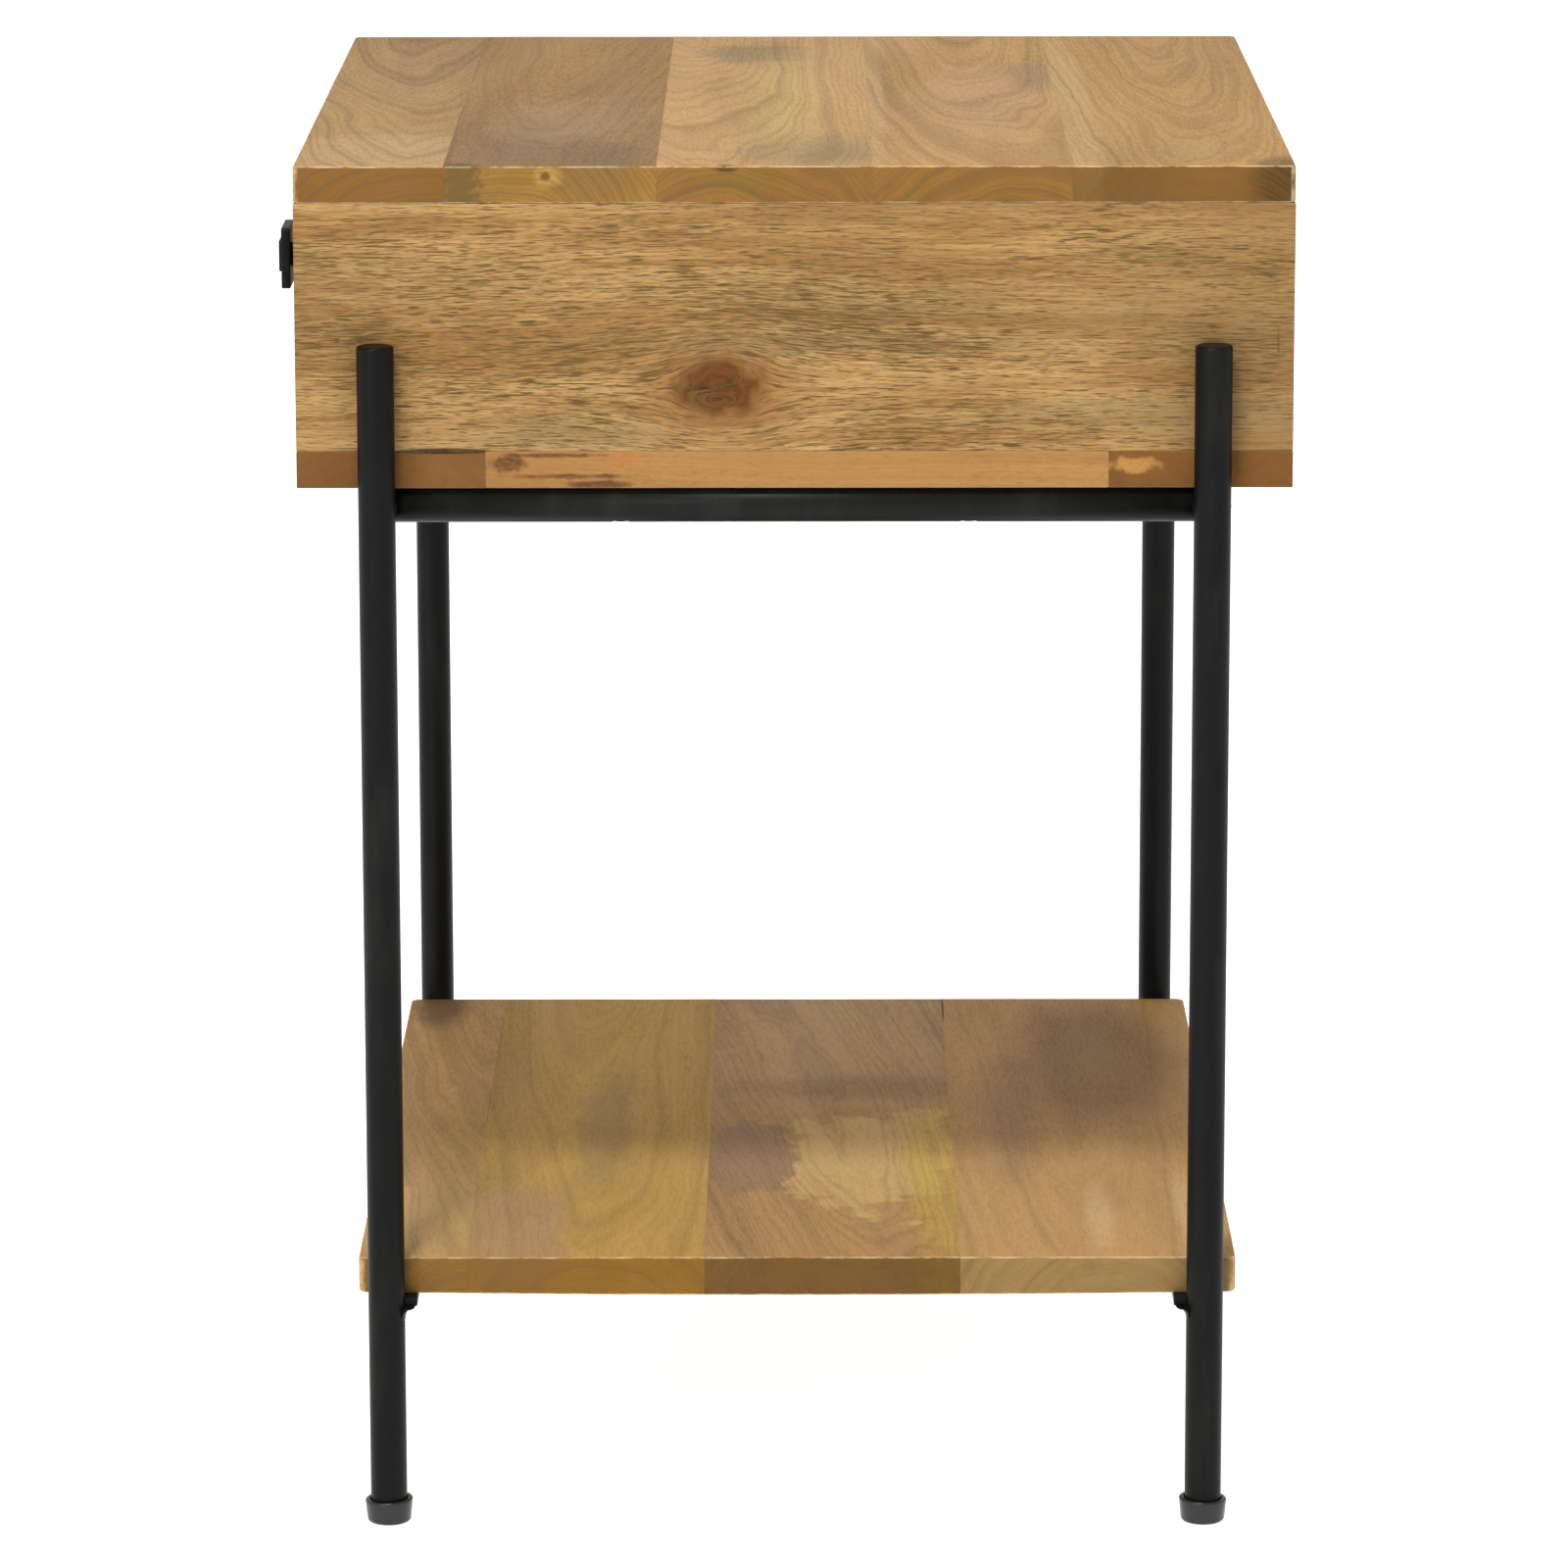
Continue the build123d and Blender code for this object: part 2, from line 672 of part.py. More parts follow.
with BuildPart() as drawer_back:
    with BuildSketch(Plane.XY.offset(drawer_bottom_top)):
        with Locations((0, drawer_rear - drawer_back_thickness / 2)):
            Rectangle(2 * drawer_side_inner, drawer_back_thickness)
    extrude(amount=drawer_side_top - drawer_bottom_top)
    for sign in sides.values():
        with BuildSketch(Plane.YZ.offset(sign * drawer_side_inner)):
            with Locations(*[(back_screw_y, height) for height in back_screw_heights]):
                Circle(thin_screw_diameter / 2)
        extrude(amount=-sign * (thin_screw_grip + dowel_end_gap), mode=Mode.SUBTRACT)
finish(drawer_back, "drawer_back")

with BuildPart() as drawer_bottom:
    bottom_front = drawer_front_back - groove_depth
    with BuildSketch(Plane.XY.offset(drawer_bottom_height)):
        with Locations((0, (bottom_front + drawer_rear) / 2)):
            Rectangle(2 * (drawer_side_inner + groove_depth), drawer_rear - bottom_front)
    extrude(amount=drawer_bottom_thickness)
finish(drawer_bottom, "drawer_bottom")

with BuildPart() as drawer_dowels:
    with BuildSketch(Plane.XZ.offset(-drawer_front_back + drawer_dowel_in_front)):
        with Locations(
            *[
                (sign * (drawer_side_inner + drawer_side_thickness / 2), height)
                for sign in sides.values()
                for height in drawer_dowel_heights
            ]
        ):
            Circle(drawer_dowel_diameter / 2)
    extrude(amount=-(drawer_dowel_in_front + drawer_dowel_in_side))
finish(drawer_dowels, "drawer_dowels")

with BuildPart() as back_screws:
    for sign in sides.values():
        for height in back_screw_heights:
            seat_plane = Plane(
                origin=(sign * drawer_side_outer, back_screw_y, height),
                x_dir=(0, 1, 0),
                z_dir=(-sign, 0, 0),
            )
            with Locations(seat_plane):
                Cone(
                    thin_screw_head_diameter / 2,
                    thin_screw_diameter / 2,
                    thin_screw_cone,
                    align=(Align.CENTER, Align.CENTER, Align.MIN),
                )
                Cylinder(
                    thin_screw_diameter / 2,
                    drawer_side_thickness + thin_screw_grip,
                    align=(Align.CENTER, Align.CENTER, Align.MIN),
                )
finish(back_screws, "drawer_back_screws")

# ================================================================ knob
plate_back = case_front - knob_stem_length

with BuildPart() as knob_plate:
    with BuildSketch(Plane.XZ.offset(-plate_back)):
        with Locations((0, knob_height)):
            RectangleRounded(knob_plate_width, knob_plate_height, knob_plate_radius)
    extrude(amount=knob_plate_thickness)
    with BuildSketch(Plane.XZ.offset(-plate_back + knob_plate_thickness)):
        with Locations((0, knob_height)):
            RectangleRounded(knob_boss_size, knob_boss_size, knob_boss_radius)
    extrude(amount=knob_boss_height)
finish(knob_plate, "knob_plate")

with BuildPart() as knob_stem:
    with BuildSketch(Plane.XZ.offset(-case_front)):
        with Locations((0, knob_height)):
            Circle(knob_stem_diameter / 2)
    extrude(amount=knob_stem_length)
    with BuildSketch(Plane.XZ.offset(-case_front)):
        with Locations((0, knob_height)):
            Circle(knob_screw_diameter / 2)
    extrude(amount=knob_thread_depth, mode=Mode.SUBTRACT)
finish(knob_stem, "knob_stem")

with BuildPart() as knob_washer:
    with BuildSketch(Plane.XZ.offset(-drawer_front_back)):
        with Locations((0, knob_height)):
            Circle(knob_washer_diameter / 2)
            Circle(knob_screw_diameter / 2 + bolt_hole_clearance, mode=Mode.SUBTRACT)
    extrude(amount=-washer_thickness)
finish(knob_washer, "knob_washer")

with BuildPart() as knob_screw:
    knob_screw_seat = drawer_front_back + washer_thickness
    with BuildSketch(Plane.XZ.offset(-knob_screw_seat)):
        with Locations((0, knob_height)):
            Circle(screw_head_diameter / 2)
    extrude(amount=-screw_head_height)
    fillet(knob_screw.faces().sort_by(Axis.Y)[-1].edges(), screw_head_height / 3)
    with BuildSketch(Plane.XZ.offset(-knob_screw_seat)):
        with Locations((0, knob_height)):
            Circle(knob_screw_diameter / 2)
    extrude(amount=washer_thickness + front_thickness + knob_thread_depth - dowel_end_gap)
finish(knob_screw, "knob_screw")
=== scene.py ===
"""Looks of a small side table: glued hardwood boards, a drawer case and a black steel frame.

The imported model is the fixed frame.  Boards, bars, welds, feet and the knob get finer
meshes in the same places; everything else keeps its own mesh and gets a material.
Lengths are metres, +Z is up, the drawer opens along -Y and the camera looks along -X.
"""

from __future__ import annotations

import logging
import math
from dataclasses import dataclass, replace
from enum import Enum
from typing import Iterable, Sequence, Union

import bmesh
import bpy
from mathutils import Euler, Matrix, Vector, noise


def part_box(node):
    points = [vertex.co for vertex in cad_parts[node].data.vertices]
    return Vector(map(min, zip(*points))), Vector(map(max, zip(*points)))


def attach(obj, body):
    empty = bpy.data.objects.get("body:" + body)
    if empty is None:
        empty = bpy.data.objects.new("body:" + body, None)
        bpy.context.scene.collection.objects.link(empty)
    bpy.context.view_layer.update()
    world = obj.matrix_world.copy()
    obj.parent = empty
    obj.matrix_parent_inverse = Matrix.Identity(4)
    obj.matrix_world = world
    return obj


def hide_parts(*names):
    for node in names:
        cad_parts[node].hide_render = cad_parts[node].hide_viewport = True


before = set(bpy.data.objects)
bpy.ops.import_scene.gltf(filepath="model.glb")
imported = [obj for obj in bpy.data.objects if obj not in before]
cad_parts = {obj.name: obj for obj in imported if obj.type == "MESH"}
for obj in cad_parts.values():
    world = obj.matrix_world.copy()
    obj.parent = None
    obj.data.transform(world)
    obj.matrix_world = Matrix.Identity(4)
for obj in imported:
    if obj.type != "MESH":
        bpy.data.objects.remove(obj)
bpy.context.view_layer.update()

log = logging.getLogger("side_table")

MM = 0.001
CLOSE = 0.01 * MM
QUARTER_TURN = math.pi / 2
ORIGIN = (0.0, 0.0, 0.0)
UP = (0.0, 0.0, 1.0)
HALF = (0.5, 0.5, 0.5)
CORNERS = tuple((end, side) for end in ("front", "rear") for side in ("left", "right"))
Socket = bpy.types.NodeSocket
Number = Union[float, Socket]
Colour = tuple[float, float, float]


class Body(str, Enum):
    """The two rigid bodies of the table."""

    TABLE = "table"
    DRAWER = "drawer"


class Grain(Enum):
    """Direction that a board's fibres run in, as a turn about +Z from +X."""

    ACROSS = 0.0
    ALONG = math.pi / 2


# ------------------------------------------------------------------ shader graph helper
class Graph:
    """Short names for building a node tree."""

    def __init__(self, tree: bpy.types.NodeTree) -> None:
        """Wrap a node tree.

        Args:
            tree: the tree that new nodes go into.
        """
        self.tree = tree

    def add(self, kind: str, **settings: object) -> bpy.types.Node:
        """Add a node and set its properties.

        Args:
            kind: the node's Blender type without the ShaderNode prefix.
            **settings: properties of the node.

        Returns:
            The new node.
        """
        node = self.tree.nodes.new(f"ShaderNode{kind}")
        for name, value in settings.items():
            setattr(node, name, value)
        return node

    def feed(self, target: Socket, value: object) -> None:
        """Link a socket to target, or set target to a plain value."""
        if isinstance(value, bpy.types.NodeSocket):
            self.tree.links.new(value, target)
        elif isinstance(value, (tuple, list)) and len(value) == 3 and target.type == "RGBA":
            target.default_value = (*value, 1.0)
        else:
            target.default_value = value

    def math(self, operation: str, first: Number, second: Number = 0.0, third: Number = 0.0) -> Socket:
        """Return the result of a Math node."""
        node = self.add("Math", operation=operation)
        for target, value in zip(node.inputs, (first, second, third)):
            self.feed(target, value)
        return node.outputs[0]

    def times(self, first: Number, second: Number) -> Socket:
        """Return the product of two values."""
        return self.math("MULTIPLY", first, second)

    def plus(self, first: Number, second: Number) -> Socket:
        """Return the sum of two values."""
        return self.math("ADD", first, second)

    def rest(self, value: Number) -> Socket:
        """Return one minus a value."""
        return self.math("SUBTRACT", 1.0, value)

    def vector(self, operation: str, first: object, second: object = (0.0, 0.0, 0.0)) -> Socket:
        """Return the result of a Vector Math node on two vectors."""
        node = self.add("VectorMath", operation=operation)
        self.feed(node.inputs[0], first)
        if operation == "SCALE":
            self.feed(node.inputs["Scale"], second)
        else:
            self.feed(node.inputs[1], second)
        return node.outputs["Value" if operation in {"LENGTH", "DOT_PRODUCT"} else "Vector"]

    def moved(self, first: object, second: object) -> Socket:
        """Return the sum of two vectors."""
        return self.vector("ADD", first, second)

    def scaled(self, vector: object, factor: Number) -> Socket:
        """Return a vector times one factor."""
        return self.vector("SCALE", vector, factor)

    def stretched(self, vector: object, factors: object) -> Socket:
        """Return a vector times a factor for each axis."""
        return self.vector("MULTIPLY", vector, factors)

    def split(self, vector: Socket) -> tuple[Socket, Socket, Socket]:
        """Return the three components of a vector."""
        node = self.add("SeparateXYZ")
        self.feed(node.inputs[0], vector)
        return node.outputs[0], node.outputs[1], node.outputs[2]

    def combine(self, x: Number, y: Number, z: Number) -> Socket:
        """Return a vector made of three values."""
        node = self.add("CombineXYZ")
        for target, value in zip(node.inputs, (x, y, z)):
            self.feed(target, value)
        return node.outputs[0]

    def noise(self, vector: Socket, detail: float = 2.0, rough: float = 0.5) -> bpy.types.Node:
        """Return a noise node at scale 1 on an already scaled vector."""
        node = self.add("TexNoise")
        self.feed(node.inputs["Vector"], vector)
        node.inputs["Scale"].default_value = 1.0
        node.inputs["Detail"].default_value = detail
        node.inputs["Roughness"].default_value = rough
        return node

    def cloud(self, vector: Socket, detail: float = 2.0, rough: float = 0.5) -> Socket:
        """Return the strength of a noise node, about 0.5 on average."""
        return self.noise(vector, detail, rough).outputs["Fac"]

    def ramp(self, value: Number, low: Number, high: Number) -> Socket:
        """Return a smooth step of value from low, which gives 0, to high, which gives 1."""
        node = self.add("MapRange", interpolation_type="SMOOTHSTEP")
        for target, entry in zip(node.inputs, (value, low, high)):
            self.feed(target, entry)
        return node.outputs[0]

    def mix(self, factor: Number, first: object, second: object, blend: str = "MIX") -> Socket:
        """Return a mix of two colours."""
        node = self.add("Mix", data_type="RGBA", blend_type=blend)
        self.feed(node.inputs["Factor"], factor)
        self.feed(node.inputs[6], first)
        self.feed(node.inputs[7], second)
        return node.outputs[2]


def new_group(name: str, inputs: Sequence[tuple[str, str, float]], outputs: Sequence[str]) -> Graph:
    """Make an empty shader node group with its own sockets.

    Args:
        name: the group's name.
        inputs: name, socket kind and starting value of each input.
        outputs: names of the float outputs; a name that starts with "Vector" is a vector.

    Returns:
        The graph of the group, with its two interface nodes in place.
    """
    tree = bpy.data.node_groups.new(name, "ShaderNodeTree")
    for label, kind, start in inputs:
        socket = tree.interface.new_socket(label, in_out="INPUT", socket_type=f"NodeSocket{kind}")
        if kind == "Float":
            socket.default_value = start
    for label in outputs:
        kind = "Vector" if label.startswith("Vector") else "Float"
        tree.interface.new_socket(label, in_out="OUTPUT", socket_type=f"NodeSocket{kind}")
    tree.nodes.new("NodeGroupInput")
    tree.nodes.new("NodeGroupOutput")
    return Graph(tree)


def group_ends(graph: Graph) -> tuple[bpy.types.NodeOutputs, bpy.types.NodeInputs]:
    """Return the values that a group is given and the results that it hands back."""
    ends = {node.bl_idname: node for node in graph.tree.nodes}
    return ends["NodeGroupInput"].outputs, ends["NodeGroupOutput"].inputs


def make_growth_group() -> bpy.types.NodeTree:
    """Build the group that grows rings, pores and fibres in a board's own grain frame.

    Returns:
        The node group; x of its Vector runs along the fibres, and the pith is the x axis.
    """
    graph = new_group(
        "Growth",
        (
            ("Vector", "Vector", 0.0),
            ("Ring Width", "Float", 0.006),
            ("Wander", "Float", 0.006),
            ("Pore Length", "Float", 0.008),
            ("Pore Width", "Float", 0.0009),
            ("Seed", "Float", 0.0),
        ),
        ("Rings", "Lines", "Pores", "Fibres", "Drift", "Bands"),
    )
    given, result = group_ends(graph)
    vector = given["Vector"]
    slow_scale, fine_scale, streak_scale = (3.5, 16.0, 16.0), (26.0, 130.0, 130.0), (5.0, 95.0, 95.0)
    sway_share, tremor_share, uneven_share = 4.0, 0.3, 2.4
    offset = graph.scaled((7.3, 3.1, 1.7), given["Seed"])
    slow = graph.moved(graph.stretched(vector, slow_scale), offset)
    sway = graph.vector("SUBTRACT", graph.noise(slow, 2.0).outputs["Color"], HALF)
    fine = graph.moved(graph.stretched(vector, fine_scale), offset)
    tremor = graph.vector("SUBTRACT", graph.noise(fine, 2.0).outputs["Color"], HALF)
    moved = graph.moved(vector, graph.scaled(sway, graph.times(given["Wander"], sway_share)))
    moved = graph.moved(moved, graph.scaled(tremor, graph.times(given["Wander"], tremor_share)))
    _, across, up = graph.split(moved)
    radius = graph.math("SQRT", graph.plus(graph.math("POWER", across, 2.0), graph.math("POWER", up, 2.0)))
    phase = graph.math("DIVIDE", radius, given["Ring Width"])
    uneven = graph.cloud(graph.combine(graph.times(phase, 0.55), given["Seed"], 0.0), 2.0)
    phase = graph.plus(phase, graph.times(uneven, uneven_share))
    wave = graph.math("COSINE", graph.times(phase, math.tau))
    rings = graph.math("MULTIPLY_ADD", wave, 0.5, 0.5)
    strength = graph.cloud(graph.combine(graph.times(phase, 0.9), 4.0, given["Seed"]), 1.0)
    strength = graph.ramp(strength, 0.35, 0.7)
    graph.feed(result["Rings"], graph.times(rings, strength))
    ripple = graph.math("COSINE", graph.times(phase, math.tau * 2.7))
    ripple = graph.math("POWER", graph.math("MULTIPLY_ADD", ripple, 0.5, 0.5), 4.0)
    lines = graph.times(graph.math("POWER", rings, 6.0), strength)
    graph.feed(result["Lines"], graph.math("MAXIMUM", lines, graph.times(ripple, 0.55)))

    lengthwise = graph.math("DIVIDE", 1.0, given["Pore Length"])
    crosswise = graph.math("DIVIDE", 1.0, given["Pore Width"])
    along, side, height = graph.split(vector)
    _, bend_side, bend_height = graph.split(graph.scaled(sway, given["Wander"]))
    side = graph.plus(side, bend_side)
    height = graph.plus(height, bend_height)
    stretched = graph.combine(
        graph.times(along, lengthwise),
        graph.times(side, crosswise),
        graph.times(height, crosswise),
    )
    pores = graph.cloud(graph.moved(stretched, offset), 1.5, 0.6)
    crowd = graph.cloud(graph.moved(graph.scaled(slow, 2.0), (5.0, 9.0, 2.0)), 2.0)
    crowding, highest_gate = -0.34, 0.70
    gate = graph.math("MULTIPLY_ADD", crowd, crowding, highest_gate)
    dashes = graph.ramp(pores, gate, graph.plus(gate, 0.1))
    short = graph.stretched(stretched, (2.1, 1.7, 1.7))
    short = graph.cloud(graph.moved(short, (11.0, 4.0, 6.0)), 1.0)
    ticks = graph.ramp(short, graph.plus(gate, 0.01), graph.plus(gate, 0.13))
    graph.feed(result["Pores"], graph.math("MAXIMUM", dashes, graph.times(ticks, 0.7)))
    fibres = graph.stretched(stretched, (0.35, 0.55, 0.55))
    graph.feed(result["Fibres"], graph.cloud(graph.moved(fibres, (3.0, 1.0, 8.0)), 4.0, 0.65))
    graph.feed(result["Drift"], graph.cloud(graph.scaled(slow, 0.8), 3.0, 0.55))
    streak = graph.moved(graph.stretched(moved, streak_scale), offset)
    graph.feed(result["Bands"], graph.cloud(streak, 3.0, 0.6))
    return graph.tree


def make_patch_group() -> bpy.types.NodeTree:
    """Build the group that masks one soft or ragged oval patch.

    Returns:
        The node group, whose mask is 1 in the patch and 0 outside it.
    """
    graph = new_group(
        "Patch",
        (
            ("Vector", "Vector", 0.0),
            ("Centre", "Vector", 0.0),
            ("Size", "Vector", 0.0),
            ("Softness", "Float", 0.5),
            ("Raggedness", "Float", 0.3),
            ("Frequency", "Float", 60.0),
        ),
        ("Mask",),
    )
    given, result = group_ends(graph)
    offset = graph.vector("SUBTRACT", given["Vector"], given["Centre"])
    oval = graph.vector("LENGTH", graph.vector("DIVIDE", offset, given["Size"]))
    rough = graph.cloud(graph.scaled(given["Vector"], given["Frequency"]), 4.0, 0.6)
    shift = graph.times(graph.math("SUBTRACT", rough, 0.5), given["Raggedness"])
    edge = graph.plus(oval, graph.times(shift, 4.0))
    low = graph.rest(given["Softness"])
    high = graph.plus(1.0, given["Softness"])
    graph.feed(result["Mask"], graph.rest(graph.ramp(edge, low, high)))
    return graph.tree


def make_knot_group() -> bpy.types.NodeTree:
    """Build the group that parts the grain around a knot whose axis is x.

    Returns:
        The node group; its Vector leads the grain round the knot, and Eye and Halo mask it.
    """
    graph = new_group(
        "Knot",
        (
            ("Vector", "Vector", 0.0),
            ("Centre", "Vector", 0.0),
            ("Radius", "Float", 0.008),
            ("Stretch", "Float", 1.5),
        ),
        ("Vector", "Eye", "Halo", "Turns"),
    )
    given, result = group_ends(graph)
    offset = graph.vector("SUBTRACT", given["Vector"], given["Centre"])
    depth, along, up = graph.split(offset)
    wobble = graph.cloud(graph.scaled(offset, 140.0), 3.0)
    flat = graph.math("DIVIDE", along, given["Stretch"])
    square = graph.plus(graph.math("POWER", flat, 2.0), graph.math("POWER", up, 2.0))
    reach = graph.math("POWER", given["Radius"], 2.0)
    share = graph.math("DIVIDE", reach, graph.plus(square, graph.times(reach, 0.35)))
    parted = graph.times(up, graph.rest(share))
    led = graph.moved(given["Centre"], graph.combine(depth, along, parted))
    graph.feed(result["Vector"], led)
    distance = graph.math("DIVIDE", graph.math("SQRT", square), given["Radius"])
    distance = graph.plus(distance, graph.times(graph.math("SUBTRACT", wobble, 0.5), 0.7))
    graph.feed(result["Eye"], graph.rest(graph.ramp(distance, 0.55, 1.2)))
    graph.feed(result["Halo"], graph.rest(graph.ramp(distance, 0.8, 2.2)))
    turns = graph.math("SINE", graph.times(distance, 21.0))
    graph.feed(result["Turns"], graph.math("MULTIPLY_ADD", turns, 0.5, 0.5))
    return graph.tree


def make_arris_group() -> bpy.types.NodeTree:
    """Build the group that finds eased edges, for rubbing and a painted edge highlight, and end grain from
    the surface's direction.

    Returns:
        The node group: Edge is 1 on eased edges, End is 1 where the fibres end.
    """
    graph = new_group("Arris", (("Grain", "Vector", 0.0), ("Wear", "Float", 1.0)), ("Edge", "End"))
    given, result = group_ends(graph)
    normal = graph.add("NewGeometry").outputs["Normal"]
    place = graph.add("TexCoord").outputs["Object"]
    sides = graph.split(graph.vector("ABSOLUTE", normal))
    most = graph.math("MAXIMUM", graph.math("MAXIMUM", sides[0], sides[1]), sides[2])
    turned = graph.rest(graph.ramp(most, 0.86, 0.985))
    broken = graph.cloud(graph.scaled(place, 95.0), 3.0, 0.7)
    # Edge mask: rubbing on the edges, and also a painted highlight where the eased edges would catch light.
    worn_and_lit = graph.times(turned, graph.ramp(broken, 0.34, 0.62))
    graph.feed(result["Edge"], graph.times(worn_and_lit, given["Wear"]))
    facing = graph.math("ABSOLUTE", graph.vector("DOT_PRODUCT", normal, given["Grain"]))
    graph.feed(result["End"], graph.ramp(facing, 0.6, 0.9))
    return graph.tree


class Effects:
    """Shader node groups that several materials place, each built once."""

    growth: bpy.types.NodeTree
    patch: bpy.types.NodeTree
    knot: bpy.types.NodeTree
    arris: bpy.types.NodeTree

    @classmethod
    def build(cls) -> None:
        """Make every group before the first material needs one."""
        cls.growth = make_growth_group()
        cls.patch = make_patch_group()
        cls.knot = make_knot_group()
        cls.arris = make_arris_group()


def place_group(graph: Graph, tree: bpy.types.NodeTree, **values: object) -> bpy.types.Node:
    """Place a node group and feed its inputs, whose names have _ for a space.

    Args:
        graph: the graph that gets the group.
        tree: the group to place.
        **values: sockets or plain values, by input name.

    Returns:
        The group's node.
    """
    node = graph.add("Group", node_tree=tree)
    for name, value in values.items():
        graph.feed(node.inputs[name.replace("_", " ")], value)
    return node


def new_material(name: str) -> tuple[bpy.types.Material, Graph, bpy.types.Node]:
    """Make a material that holds one Principled BSDF.

    Args:
        name: the material's name.

    Returns:
        The material, its graph and the shader node.
    """
    material = bpy.data.materials.new(name)
    material.use_nodes = True
    shader = next(node for node in material.node_tree.nodes if node.type == "BSDF_PRINCIPLED")
    return material, Graph(material.node_tree), shader


def roughen(graph: Graph, shader: bpy.types.Node, relief: Socket, strength: float, depth: float) -> None:
    """Give a shader a fine relief.

    Args:
        graph: the material's graph.
        shader: the material's shader node.
        relief: height of the relief, about 0 to 1.
        strength: how much of it shows.
        depth: its depth in millimetres.
    """
    bump = graph.add("Bump")
    bump.inputs["Strength"].default_value = strength
    bump.inputs["Distance"].default_value = depth * MM
    graph.feed(bump.inputs["Height"], relief)
    graph.feed(shader.inputs["Normal"], bump.outputs["Normal"])


# ------------------------------------------------------------------ finishes
@dataclass(frozen=True)
class ColourPatch:
    """One patch of other colour in a board: mostly staining and tone in the wood, a few painted shade or
    painted light.

    Attributes:
        place: the patch's middle, from -1 to 1 across each side of the board's box.
        size: half its length along each axis, in metres.
        colour: what it is mixed with.
        strength: how much of that colour shows.
        softness: width of its fading rim, as a share of its size.
        raggedness: how uneven the rim is.
        frequency: how fine the rim's unevenness is, per metre.
    """

    place: tuple[float, float, float]
    size: tuple[float, float, float]
    colour: Colour
    strength: float = 0.6
    softness: float = 0.45
    raggedness: float = 0.2
    frequency: float = 45.0


@dataclass(frozen=True)
class KnotSpot:
    """A branch knot seen end on in a board's broad face."""

    place: tuple[float, float, float]
    radius: float
    stretch: float
    halo: Colour = (0.24, 0.10, 0.03)
    eye: Colour = (0.125, 0.040, 0.006)
    rings: Colour = (0.048, 0.014, 0.003)


